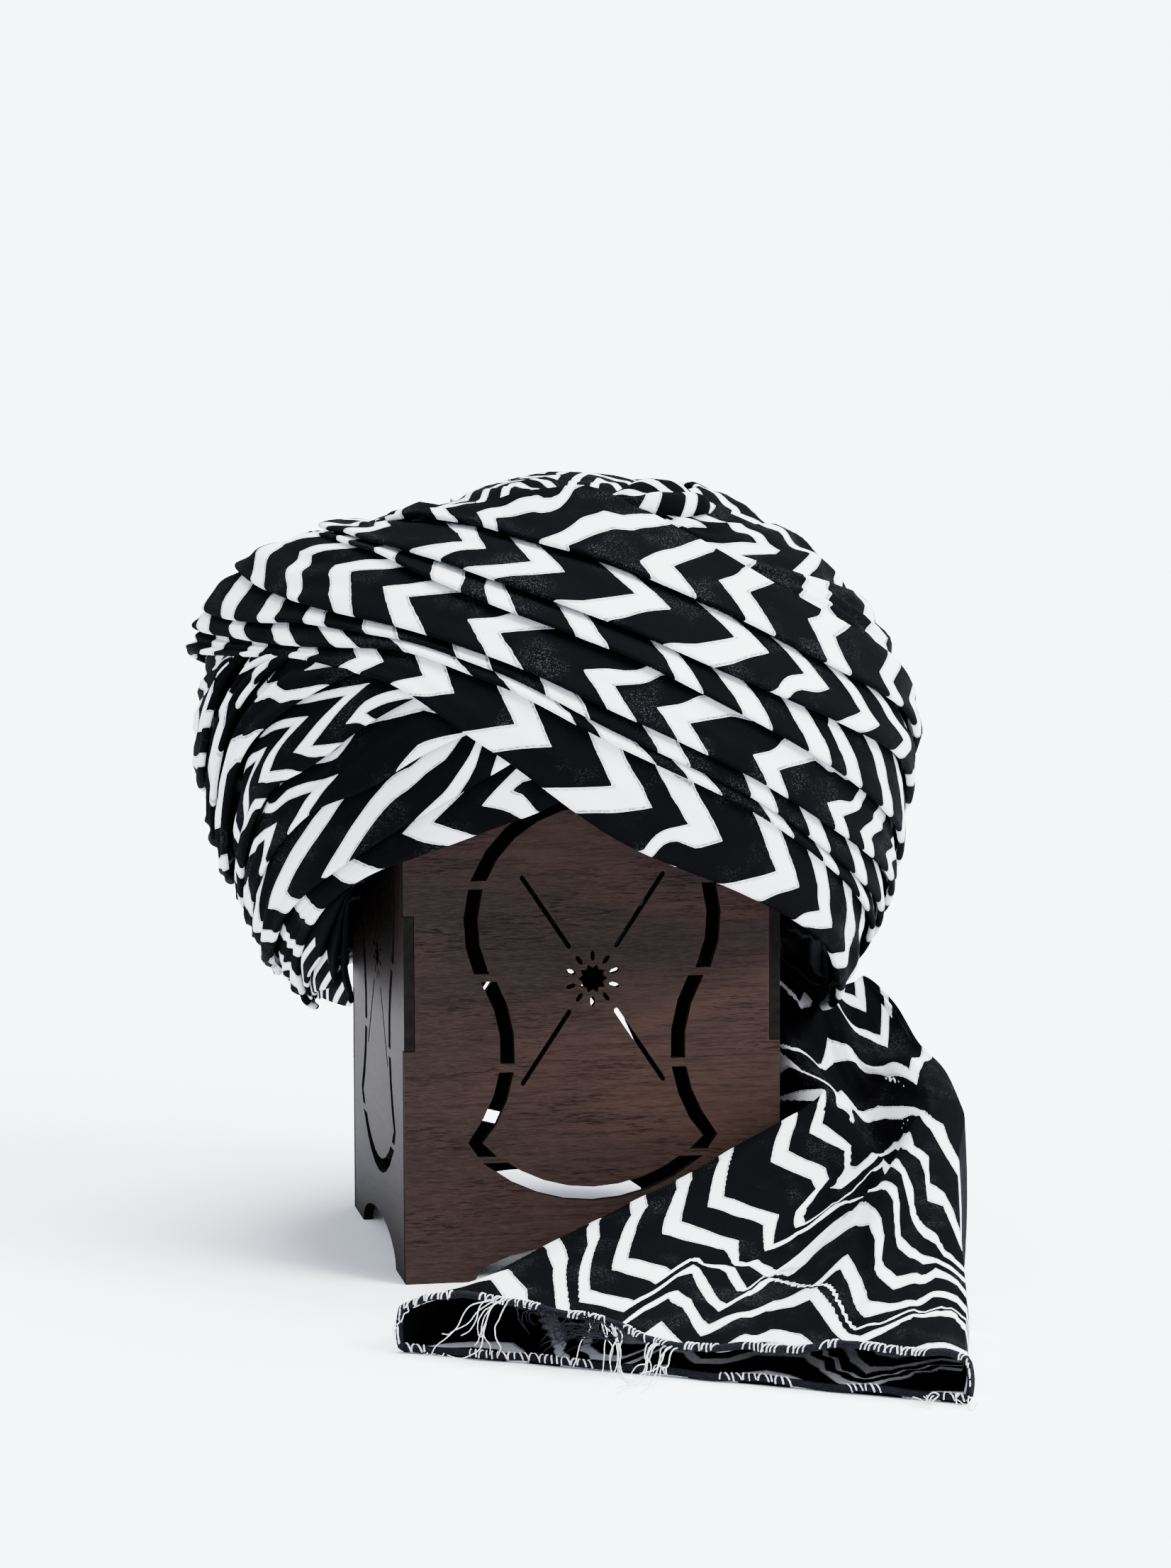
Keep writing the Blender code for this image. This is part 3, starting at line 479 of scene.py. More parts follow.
def wrapStrip(name, node, azimuths, lower, upper, design, closed=False):
    lowFold, highFold = design.get("lowFold", True), design.get("highFold", False)
    offset = abs((design["turn"] + 1) % 2 - 1)
    stripes = sorted(design["stripes"])
    knots = sorted((left + (right - left) * offset, height) for left, right, height in stripes)
    shares = [(a, (height - lower(a)) / max(upper(a) - lower(a), 1.0)) for a, height in knots]

    def stripeLine(azimuth):  # the line that the stripes' points lie on
        return lower(azimuth) + (upper(azimuth) - lower(azimuth)) * lookUp(shares, azimuth)

    heights = [design.get("line", stripeLine)(a) for a in azimuths]
    run, slopes = alongStrip(azimuths, heights)
    stops, numbers = [], []
    for number, (left, right, _) in enumerate(stripes):
        for azimuth, extra in ((left, 0.0), (right, stripeShare)):
            onCloth = azimuths[0] <= azimuth <= azimuths[-1]
            stops.append(float(np.interp(azimuth, azimuths, run)) if onCloth
                         else (azimuth - azimuths[0]) * pleat["beyondEnds"])
            numbers.append(number + offset + extra)
    pitch = design.get("pitch", pleat["stripePitch"])
    if closed:  # whole stripes all the way round
        rest, span = run[-1] - (stops[-1] - stops[0]), numbers[-1] - numbers[0]
        pitch = rest / (max(round(span + rest / pitch), 1) - span)
    number = countCurve(stops, numbers, pitch, design.get("beyond", pitch))
    reaches = design.get("reach", (1.0, 1.0))
    tilts = design.get("tilts", ((0.0, *design.get("steep", (1.4, 1.4))),))
    ripples, calm, loose = design["ripples"]
    seed = sum(ord(letter) for letter in name) * pleat["seedStep"]
    noseTurns = [math.radians(turn) for turn in pleat["noseTurns"]]
    widths = []

    def section(place, azimuth):
        low, high = lower(azimuth), upper(azimuth)
        degree = outerRadius(azimuth, (low + high) / 2) * math.pi / 180
        tall = max((high - low) * degree, pleat["leastHeight"])
        full = min(1.0, tall / pleat["fullHeight"])
        nose = min(pleat["nose"], tall * pleat["noseShare"])
        proud = pleat["proud"] * (pleat["lowProud"] + (1 - pleat["lowProud"]) * full)
        tuck = pleat["tuck"] * (pleat["lowTuck"] + (1 - pleat["lowTuck"]) * full)
        still, wide = pleat["gathered"][azimuth <= 0]
        gather = min(1.0, max(0.0, (abs(turned(azimuth)) - still) / wide))
        depth = (calm + (loose - calm) * gather) * min(1.0, tall / (6 * ripples))
        sine, cosine = math.sin(math.radians(azimuth)), math.cos(math.radians(azimuth))
        scale, most = pleat["wander"]
        wander = noise.noise(Vector((sine * scale, cosine * scale, seed))) * most
        where = azimuth if azimuth > 180 else turned(azimuth)
        swell, lipRise = [lookUp(design.get(label, unswollen), where)
                          for label in ("swell", "lipRise")]
        round_, long, up = pleat["crumple"]
        spot = (sine * round_, cosine * round_) if closed else (run[place] / long, 0.0)

        def lifted(d):  # how far the face stands out, at a distance up it
            t = min(max(d / tall, -0.3), 1.3)
            inside = min(max(t, 0.0), 1.0)
            hump = math.sin(math.pi * inside)
            if lowFold and highFold:
                lift = proud * (1 - pleat["flatter"] * hump)
            else:
                hidden = max(t if lowFold else 1 - t, 0.0) ** pleat["fullness"]
                lift = proud - (proud + tuck) * hidden
            fade = hump ** pleat["fade"]
            lift += depth * fade * math.cos(math.tau * (ripples * t + wander))
            least, more = pleat["crumpleDepth"]
            crumple = noise.noise(Vector((*spot, seed + d / up))) * (least + more * gather)
            return lift + swell + lipRise * inside ** 2 + crumple * fade

        start = nose if lowFold else -pleat["overlap"]
        end = tall - nose if highFold else tall + pleat["overlap"]
        widths.append(end - start + pleat["noseCloth"] * nose * (lowFold + highFold))
        ring = []  # distance up the cloth's face, and lift
        if lowFold:
            ring += [(nose - nose * math.cos(t), lifted(nose) - nose + nose * math.sin(t))
                     for t in noseTurns]
        ring += [(d, lifted(d)) for d in (start + (end - start) * s for s in pleat["faceShares"])]
        if highFold:
            ring += [(end + nose * math.cos(t), lifted(end) - nose + nose * math.sin(t))
                     for t in noseTurns[::-1]]
        for d in (start + (end - start) * share for share in pleat["insideShares"]):
            folds = [away for folded, away in ((lowFold, d - start), (highFold, end - d)) if folded]
            thick = max([pleat["cloth"]] + [2 * nose * (1 - away / (tall / 2)) for away in folds])
            ring.append((d, lifted(d) - thick))

        wall = hollowReach(azimuth) + pleat["clearance"]
        span = pleat["pitchSpan"]
        passed = number(run[place] + span / 2) - number(run[place] - span / 2)
        halfPeriod = max(span / max(passed, 1e-3), pleat["leastPitch"])
        halves = [halfPeriod * reach / lookUp(tilts, azimuth, side + 1)
                  for side, reach in enumerate(reaches)]
        rows = []
        for d, lift in ring:
            height = low + d / degree
            reach = outerRadius(azimuth, height) + lift
            if height < 0:
                reach = max(reach, wall / math.cos(math.radians(height)))
            if "band" in design:  # stripes that run along the pleat in small arches
                band, arch, top = design["band"]
                # a pleat without a band is printed plain black, as painted shade
                prints = pleat["black"]
                if band:
                    prints = ((top(azimuth) - height) / band, azimuth / arch)
            else:
                rise = d - (heights[place] - low) * degree
                along = run[place] + rise * math.sin(slopes[place])
                across = rise * math.cos(slopes[place])
                side = int(across > 0)
                turn = design["turn"] + across / halves[side]
                further = (reaches[side] - 1) * (abs((turn + 1) % 2 - 1) - offset)
                prints = (number(along) - further, turn)
            rows.append((turbanPoint(azimuth, height, reach), prints, (run[place] * mm, d * mm)))
        return rows

    piece, points = turbanCloth(name, azimuths, section, printedCloth, closed)
    settle(piece, "printed_voile", node)
    width = pleat["turnedIn"] * float(np.mean(widths)) * mm
    if "band" in design:  # short pleats: half the length round their own section
        width = float(np.linalg.norm(points - np.roll(points, 1, 1), axis=2).sum(1).mean()) / 2


def evenStripes(azimuths, step, shift, heightAt):  # guessed stripes, where the photo shows none
    starts = [azimuths[0] + step * (place + shift) for place in range(40)]
    return [(a, a + stripeShare * step, heightAt(a)) for a in starts
            if a + step < azimuths[-1]]


# Ripples are their number on a pleat and their depth where it is calm and where it is gathered.
# Swells are by azimuth. Each stripe has its left and right edge along the line of its points, and
# the height there, all in degrees.
overDesign = {
    "top": {
        "highFold": True, "ripples": (1, 0.5, 1.0), "turn": 4.0, "reach": (1.0, 1.7),
        "lipRise": ((-75, 0), (-62, -3), (-42, -1), (-27, 3), (-10, 4.5), (8, 4.5), (26, 0)),
        "swell": ((-178, 0), (-165, -4), (-150, -7), (-130, -8), (-110, -8), (-90, -6), (-75, -2),
                  (-60, 0)),
        "tilts": ((-62, 1.6, 0.5), (-38, 2.2, 0.45), (-15, 1.0, 0.88), (4, 0.65, 0.98),
                  (22, 0.65, 1.15), (40, 0.7, 0.95), (56, 0.8, 1.0)),
        "stripes": ((-62, -52, 56), (-37.8, -28.5, 54.2), (-15.0, -6.5, 44.5), (7.9, 16.0, 38.3),
                    (24.8, 31, 33.4), (40.6, 46, 24), (55.6, 61, 12.8))},
    "shoulder": {
        "ripples": (1, 0.4, 1.2), "turn": 3.0, "reach": (1.3, 1.3),
        "lipRise": ((-160, 0), (-140, -5), (-105, -5), (-85, -2), (-75, 0)),
        "tilts": ((-70, 1.4, 2.4), (-40, 1.35, 1.8), (-20, 1.35, 1.35)),
        "stripes": ((-73, -62.7, 47.3), (-35.3, -26.9, 42.4), (-16.3, -7.5, 36.2),
                    (4.7, 12.0, 27.3), (22, 28.8, 18.4), (34, 39.4, 11.5), (45.5, 50.6, 4.6))},
    "cord": {
        "ripples": (1, 0.1, 0.5), "turn": 1.5, "steep": (1.05, 1.05),
        "swell": ((-125, 0), (-100, 1), (-70, 0)),
        "stripes": ((-40, -29, 37.2), (-24.6, -18.5, 31), (-8.9, -2.6, 25.5), (7.6, 12.5, 17.5),
                    (17.5, 23.8, 12.3), (29.5, 35.6, 5.5), (38, 43, 1))},
    "middle": {
        "ripples": (2, 0.3, 1.2), "turn": 2.0, "steep": (1.55, 1.55), "reach": (1.2, 1.2),
        "swell": ((-130, 0), (-100, 4.5), (-68, 0)),
        "stripes": ((-68.3, -58, 35.7), (-47.5, -38.8, 31.7), (-26.6, -19.2, 26.0),
                    (-6.1, -0.6, 17.4), (5.0, 10.8, 11.3), (20, 25.5, 3.4), (35.6, 40.5, -5.4),
                    (45, 49.5, -11))},
    "fine": {
        "ripples": (1, 0.1, 0.4), "turn": 1.5, "steep": (1.1, 1.1),
        "swell": ((-125, 0), (-100, 5), (-72, 0), (60, 0), (90, -2), (130, 0)),
        "stripes": ((-47.5, -38.8, 23.8), (-28.4, -20.6, 20.2), (-12.8, -5.5, 13.5),
                    (3.4, 9.4, 6.6), (19, 25, -1.5), (31, 37, -9))},
    "browCord": {
        "ripples": (1, 0.05, 0.3), "turn": 1.5, "steep": (2.0, 2.0),
        "swell": ((-125, 0), (-100, 7), (-72, 0), (60, 0), (90, -5), (130, 0)),
        "stripes": ((-38.8, -24.4, 19.6), (-19.4, -7.8, 13.6), (-5.6, 3.8, 7.0), (8, 14, 1),
                    (22, 28, -6))},
    "brow": {
        "ripples": (2, 0.35, 1.5), "turn": 1.0, "steep": (1.45, 1.45), "reach": (1.35, 1.2),
        "swell": ((-125, 0), (-100, 7), (-72, 0), (58, 0), (90, -8), (130, 0)),
        "stripes": ((-45.5, -39, 17.8), (-32.2, -25.5, 13.2), (-16.6, -10.2, 5.3), (-2.2, 4.8, -4),
                    (9.5, 16.3, -9.8), (25.5, 31.9, -18.5), (37, 41.9, -26))},
}
columns = round(360 / pleat["columnDegrees"])
roundAzimuths = [-180 + step * pleat["columnDegrees"] for step in range(columns + 1)]
creases = list(over.values())
for (part, design), upper, lower in zip(overDesign.items(), creases, creases[1:]):
    node = "over_wrap_" + ("brow_cord" if part == "browCord" else part)
    wrapStrip(part + "Wrap", node, roundAzimuths, lower, upper, design, closed=True)
print("over wraps folded")

# The stripes' points run along the crease between the rim's pleat and the front one
jawStripes = {"turn": 0.0, "steep": (1.5, 2.2), "reach": (1.0, 1.75), "pitch": 38.0, "stripes": (
    (-91, -86, -40), (-78, -72.8, -29.4), (-66.3, -59.4, -23.5), (-50, -43.4, -16.3),
    (-34.7, -28.4, -8.6), (-21.6, -16.2, -3.6))}
underDesign = {
    "rim": {"ripples": (3, 0.12, 1.2), "swell": ((-125, 0), (-105, 4), (-80, 3), (-60, 0)),
            **jawStripes},
    "front": {"ripples": (2, 0.2, 1.5), "swell": ((-125, 0), (-105, 3), (-75, 3), (-60, 0)),
              **jawStripes},
    "cheek": {"ripples": (2, 0.5, 1.5), "turn": 1.0, "steep": (3.7, 3.9), "reach": (1.0, 1.5),
              "pitch": 44.0, "beyond": 110.0,
              "stripes": ((-62.8, -58.4, -8.6), (-50.6, -44.7, 0.25))},
    "temple": {"ripples": (2, 0.5, 1.5), "turn": 1.0, "steep": (2.6, 3.2), "pitch": 32.0,
               "swell": ((-125, 0), (-100, -2), (-80, -2), (-65, 0)),
               "stripes": ((-66, -62.5, 2.7), (-57, -52.5, 8.4))},
    "side": {"ripples": (2, 0.8, 1.5), "turn": 1.0, "shift": 0.2},
    "ear": {"ripples": (3, 0.8, 1.5), "turn": 2.5, "shift": 0.8},
    "high": {"ripples": (4, 0.8, 1.6), "turn": 0.5, "shift": 0.3,
             "swell": ((-125, 0), (-100, 1.5), (-72, 0))},
}
guessedUnder = {"step": 17.0, "steep": (2.4, 2.8), "tuckedUp": 2.0}
leastDegrees = 0.9  # a pleat starts and ends where it is this high
creases = list(under.values())
for (part, design), lower, crease in zip(underDesign.items(), creases, creases[1:]):
    def ceiling(azimuth):
        return min(crease(azimuth), over["lowerEdge"](turned(azimuth)) + guessedUnder["tuckedUp"])

    azimuths = [float(a) for a in range(-228, 1) if ceiling(a) - lower(a) > leastDegrees]
    if "shift" in design:
        design["steep"] = guessedUnder["steep"]
        design["stripes"] = evenStripes(azimuths, guessedUnder["step"], design["shift"],
                                        lambda a: (lower(a) + ceiling(a)) / 2)
    wrapStrip(part + "UnderWrap", "under_wrap_" + part, azimuths, lower, ceiling, design)
print("under wraps folded")

# The thin pleats under the left lobe, below the rim, whose stripes run along them. The depth table
# gives how far the lobe hangs below the rim, by azimuth, all in degrees.
jaw = {
    "pleats": 3, "from": -90.0, "to": -44.5, "step": 0.5,
    "depth": ((-90, 0), (-82, 0.6), (-76, 2.6), (-70, 6.0), (-63, 11.0), (-60, 13.2), (-58, 14.5),
              (-56, 15), (-54, 14), (-52, 11.4), (-50, 9.5), (-48, 6), (-46, 2.5), (-44, 0)),
    "swells": (2.2, 1.2, 0.2), "shadeFrom": -56.0, "bandDegrees": 3.1, "archDegrees": 16.0,
    "lap": 0.3, "leastDegrees": 0.75,
    "stripes": ((-80, -78, -45), (-70, -68, -42)),
}
for fold in range(jaw["pleats"]):
    def jawUpper(azimuth):
        hang = fold / jaw["pleats"] * lookUp(jaw["depth"], azimuth)
        return under["rim"](azimuth) - hang + jaw["lap"]

    def jawLower(azimuth):
        return under["rim"](azimuth) - (fold + 1) / jaw["pleats"] * lookUp(jaw["depth"], azimuth)

    shown = [float(a) for a in np.arange(jaw["from"], jaw["to"] + jaw["step"], jaw["step"])
             if jawUpper(a) - jawLower(a) > jaw["leastDegrees"]]
    most = jaw["swells"][fold]
    # past shadeFrom each pleat is printed plain black, as painted shade
    for label, band, azimuths in (
            ("Pleat", jaw["bandDegrees"], [a for a in shown if a <= jaw["shadeFrom"]]),
            ("Shade", None, [a for a in shown if a >= jaw["shadeFrom"]])):
        design = {"ripples": (1, 0.1, 0.1), "band": (band, jaw["archDegrees"], under["rim"]),
                  "line": jawUpper, "swell": ((-100, most), (-62, most), (-50, 0)),
                  "turn": 0.0, "stripes": jaw["stripes"]}
        wrapStrip("jaw%s%d" % (label, fold + 1), None, azimuths, jawLower, jawUpper, design)
print("jaw pleats turned in")


def lipLine(azimuth):
    return over["lip"](turned(azimuth))


def crownAt(azimuth):
    return crownLine(turned(azimuth))


def between(crease):
    return lambda azimuth: min(max(crease(azimuth), lipLine(azimuth)), crownAt(azimuth))


backDesign = {
    "low":  {"ripples": (3, 1.0, 1.4), "turn": 0.0, "shift": 0.3,
             "swell": ((30, 0), (48, -3), (66, -4), (84, -1), (100, 2.5), (125, 0))},
    "mid":  {"ripples": (2, 1.0, 1.4), "turn": 1.2, "shift": 0.7,
             "swell": ((25, 0), (45, 1), (90, 1), (120, 0), (180, 0), (205, -6), (228, -8))},
    "high": {"ripples": (1, 0.8, 1.2), "turn": 0.4, "shift": 0.1,
             "swell": ((15, 0), (45, 3), (90, 3), (120, 0), (180, 0), (205, -6), (228, -8))},
}
guessedBack = {"lowFold": False, "highFold": True, "steep": (2.2, 0.8)}
backStep, backLine = 21.0, 0.4  # the stripes' step in degrees, and their points' share of the pleat
creases = (lipLine, between(back["lower"]), between(back["upper"]), crownAt)
for (part, design), lower, upper in zip(backDesign.items(), creases, creases[1:]):
    azimuths = [float(a) for a in range(0, 229) if upper(a) - lower(a) > leastDegrees]
    stripes = evenStripes(azimuths, backStep, design["shift"],
                          lambda a: lower(a) + (upper(a) - lower(a)) * backLine)
    wrapStrip(part + "BackWrap", "back_wrap_" + part, azimuths, lower, upper,
              {**design, **guessedBack, "stripes": stripes})
print("back wraps folded")

# The crown: a thin dome of cloth with shallow pleats, tucked under the wraps round it
crown = {
    "tuck": 2.2, "edgeTuck": 3.2, "cloth": 1.3, "under": 3.5, "degree": 2.4,
    "rings": 26, "top": 89.2,
    "fold": 1.1, "folds": 3.2, "sway": (0.5, 0.6), "fade": (1.1, 0.12, 0.5),
    "swell": 2.4, "swellReach": 1.6, "edge": 0.04,
    "halfPeriod": 18.0, "pitch": 30.0, "arch": 1.9, "valleyAt": (-3.0, 20.0),
    "sunk": ((-180, 0), (-165, -3), (-150, -7), (-130, -9), (-110, -9), (-90, -7), (-70, -4),
             (-50, 0), (180, 0)),
}


def crownSection(place, azimuth):
    edge, rows = crownLine(azimuth) - crown["under"] / crown["degree"], []
    shares = evenly(crown["rings"])[:-1]
    for layer, share in [(0, share) for share in shares] + [(1, share) for share in shares[::-1]]:
        height = edge + (crown["top"] - edge) * share
        stretch, shift, power = crown["fade"]
        fade = math.sin(math.pi * min(1.0, share * stretch + shift)) * (1 - share) ** power
        sway = crown["sway"][0] * math.sin(math.radians(azimuth) + crown["sway"][1])
        lift = crown["fold"] * fade * math.cos(math.tau * (share * crown["folds"] + sway))
        lift += crown["swell"] * math.sin(math.pi / 2 * min(share * crown["swellReach"], 1.0))
        lift += (1 - share) * lookUp(crown["sunk"], azimuth)
        lift -= crown["tuck"] + (crown["edgeTuck"] if share < crown["edge"] else 0.0)
        radius = outerRadius(azimuth, height) + lift - layer * crown["cloth"]
        point = turbanPoint(azimuth, height, radius)
        x, y = [point[k] / mm - crown["valleyAt"][k] for k in (0, 1)]
        across = x / crown["halfPeriod"] + 1
        further = (crown["arch"] - 1) * abs((across + 1) % 2 - 1)
        rows.append((point, (-y / crown["pitch"] - further, across), point[:2]))
    return rows


crownPiece, _ = turbanCloth("crownCloth", roundAzimuths, crownSection, printedCloth, True,
                            pole=(crown["rings"] - 1, crown["rings"]), merge=0.00001)
settle(crownPiece, "printed_voile", "crown_cap")
side = math.sqrt(clothArea(crownPiece))
print("crown laid")

# The inner turns: thick wound cloth round the hollow, seen only from below, in the print with its
# white darkened to near black as painted shade
core = {
    "skin": 3.6, "under": 1.5, "rimInset": 0.9, "leastWall": 4.0, "rimStep": 0.5,
    "levels": 14, "wallLevels": 22, "domeLevels": 10, "rimLevels": 6,
    "dome": ((84.0, 86.0), (3.0, 14.0), 2.0),  # half width and depth, shift and squareness
    "domeRise": 53.0, "domeTop": 80.0, "domeRipple": (0.8, 14.0),
    "turn": 8.0, "turnDepth": 0.9, "sag": 1.4, "sags": 3,
    "turnSway": (5.0, 2), "stripes": 24.0, "halfPeriod": 0.027, "girth": 0.85,
}


def rimHeight(azimuth):
    edge, other = over["lowerEdge"](azimuth), azimuth if azimuth <= 0 else azimuth - 360
    return min(edge, under["rim"](other)) if -230 <= other <= 0 else edge


def coreSection(place, azimuth):
    wall, rim = hollowReach(azimuth), rimHeight(azimuth) + core["rimInset"]
    while ((outerRadius(azimuth, rim) - core["skin"]) * math.cos(math.radians(rim))
           < wall + core["leastWall"]):
        rim += core["rimStep"]
    column, top = [], crownLine(azimuth) - core["under"]
    for share in evenly(core["levels"]):
        height = rim + (top - rim) * share
        radius = outerRadius(azimuth, height) - core["skin"] - core["under"]
        column.append(turbanPoint(azimuth, height, radius))
    base = hollowReach(azimuth, *core["dome"])
    high = form["boxTop"] - form["middle"][2]
    for share in evenly(core["domeLevels"])[:0:-1]:
        climb = math.radians(core["domeTop"] * share)
        ripple = core["domeRipple"][0] * math.sin(climb * core["domeRipple"][1])
        column.append(levelPoint(azimuth, base * math.cos(climb),
                                 high + core["domeRise"] * math.sin(climb) + ripple))
    low = wall * math.tan(math.radians(rim))
    for share in evenly(core["wallLevels"]):
        rise = high + (low - high) * share
        far, often = core["turnSway"]
        wave = (rise + far * math.sin(math.radians(azimuth) * often)) / core["turn"]
        inset = core["turnDepth"] * (0.5 + 0.5 * math.cos(math.tau * wave))
        column.append(levelPoint(azimuth, wall + inset, rise))
    reach = outerRadius(azimuth, rim) - core["skin"]
    out, end = reach * math.cos(math.radians(rim)), reach * math.sin(math.radians(rim))
    for share in evenly(core["rimLevels"])[1:-1]:
        sag = core["sag"] * abs(math.sin(math.pi * core["sags"] * share))
        column.append(levelPoint(azimuth, wall + (out - wall) * share,
                                 low + (end - low) * share + sag))
    rows, length = [], 0.0
    for before, point in zip([column[0]] + column, column):
        length += math.dist(before, point)
        rows.append((point, (azimuth / 360 * core["stripes"], length / core["halfPeriod"]),
                     (azimuth / 360 * core["girth"], length)))
    return rows


# the inner turns wear the print darkened as painted shade
corePiece, _ = turbanCloth("innerTurns", roundAzimuths, coreSection, shadedWoundCloth, True)
settle(corePiece, "wound_voile", "wound_core")
print("inner turns wound")

# The loose fold tucked in beside the crown: azimuth, lower edge, upper edge and puff
tucked = {
    "sections": ((13, 58, 62, 0.5), (18, 54, 63, 4.0), (25, 52, 64.5, 7.0), (32, 51, 64, 8.0),
                 (40, 51, 63, 7.0), (47, 52, 61.5, 4.0), (53, 53.5, 60, 0.5)),
    "profile": ((0, 0), (0.04, 0.45), (0.1, 0.75), (0.2, 1.0), (0.32, 0.95), (0.44, 0.62),
                (0.52, 0.5), (0.62, 0.75), (0.74, 0.98), (0.85, 0.85), (0.94, 0.45), (1, 0)),
    "steps": 50, "faceSteps": 26, "backSteps": 8, "over": 3.6, "behind": -1.0, "width": 0.035,
    "crumple": (9.0, 2.2, 4.0), "crumpleDepth": 1.2, "fullPuff": 3.0,
    "print": (13.0, 0.8, 1.7, 0.3), "cloth": (0.0015, 0.03),
}
tuckedAzimuths, *tuckedCurves = zip(*tucked["sections"])
tuckedCurves = [smoothCurve(tuckedAzimuths, values) for values in tuckedCurves]
tuckedProfile = smoothCurve(*zip(*tucked["profile"]))


def tuckedSection(place, azimuth):
    low, high, puff = [curve(azimuth) for curve in tuckedCurves]
    rows = []
    for share, shown in ([(share, True) for share in evenly(tucked["faceSteps"])]
                         + [(share, False) for share in evenly(tucked["backSteps"])[-2:0:-1]]):
        height, lift = low + (high - low) * share, tucked["behind"]
        if shown:
            round_, up, seed = tucked["crumple"]
            crumple = noise.noise(Vector((azimuth / round_, share * up, seed)))
            crumple *= tucked["crumpleDepth"] * min(1, puff / tucked["fullPuff"])
            lift = tuckedProfile(share) * puff + crumple
        radius = outerRadius(azimuth, height) + tucked["over"] + lift
        pitch, lean, turns, first = tucked["print"]
        rows.append((turbanPoint(azimuth, height, radius),
                     (azimuth / pitch + share * lean, share * turns + first),
                     (azimuth * tucked["cloth"][0], share * tucked["cloth"][1])))
    return rows


first, last = tuckedAzimuths[0], tuckedAzimuths[-1]
azimuths = [first + (last - first) * share for share in evenly(tucked["steps"])]
tuckedPiece, _ = turbanCloth("tuckedCloth", azimuths, tuckedSection, printedCloth, False)
settle(tuckedPiece, "printed_voile", "tucked_fold")
clothArea(tuckedPiece) / tucked["width"]
print("loose fold tucked in")

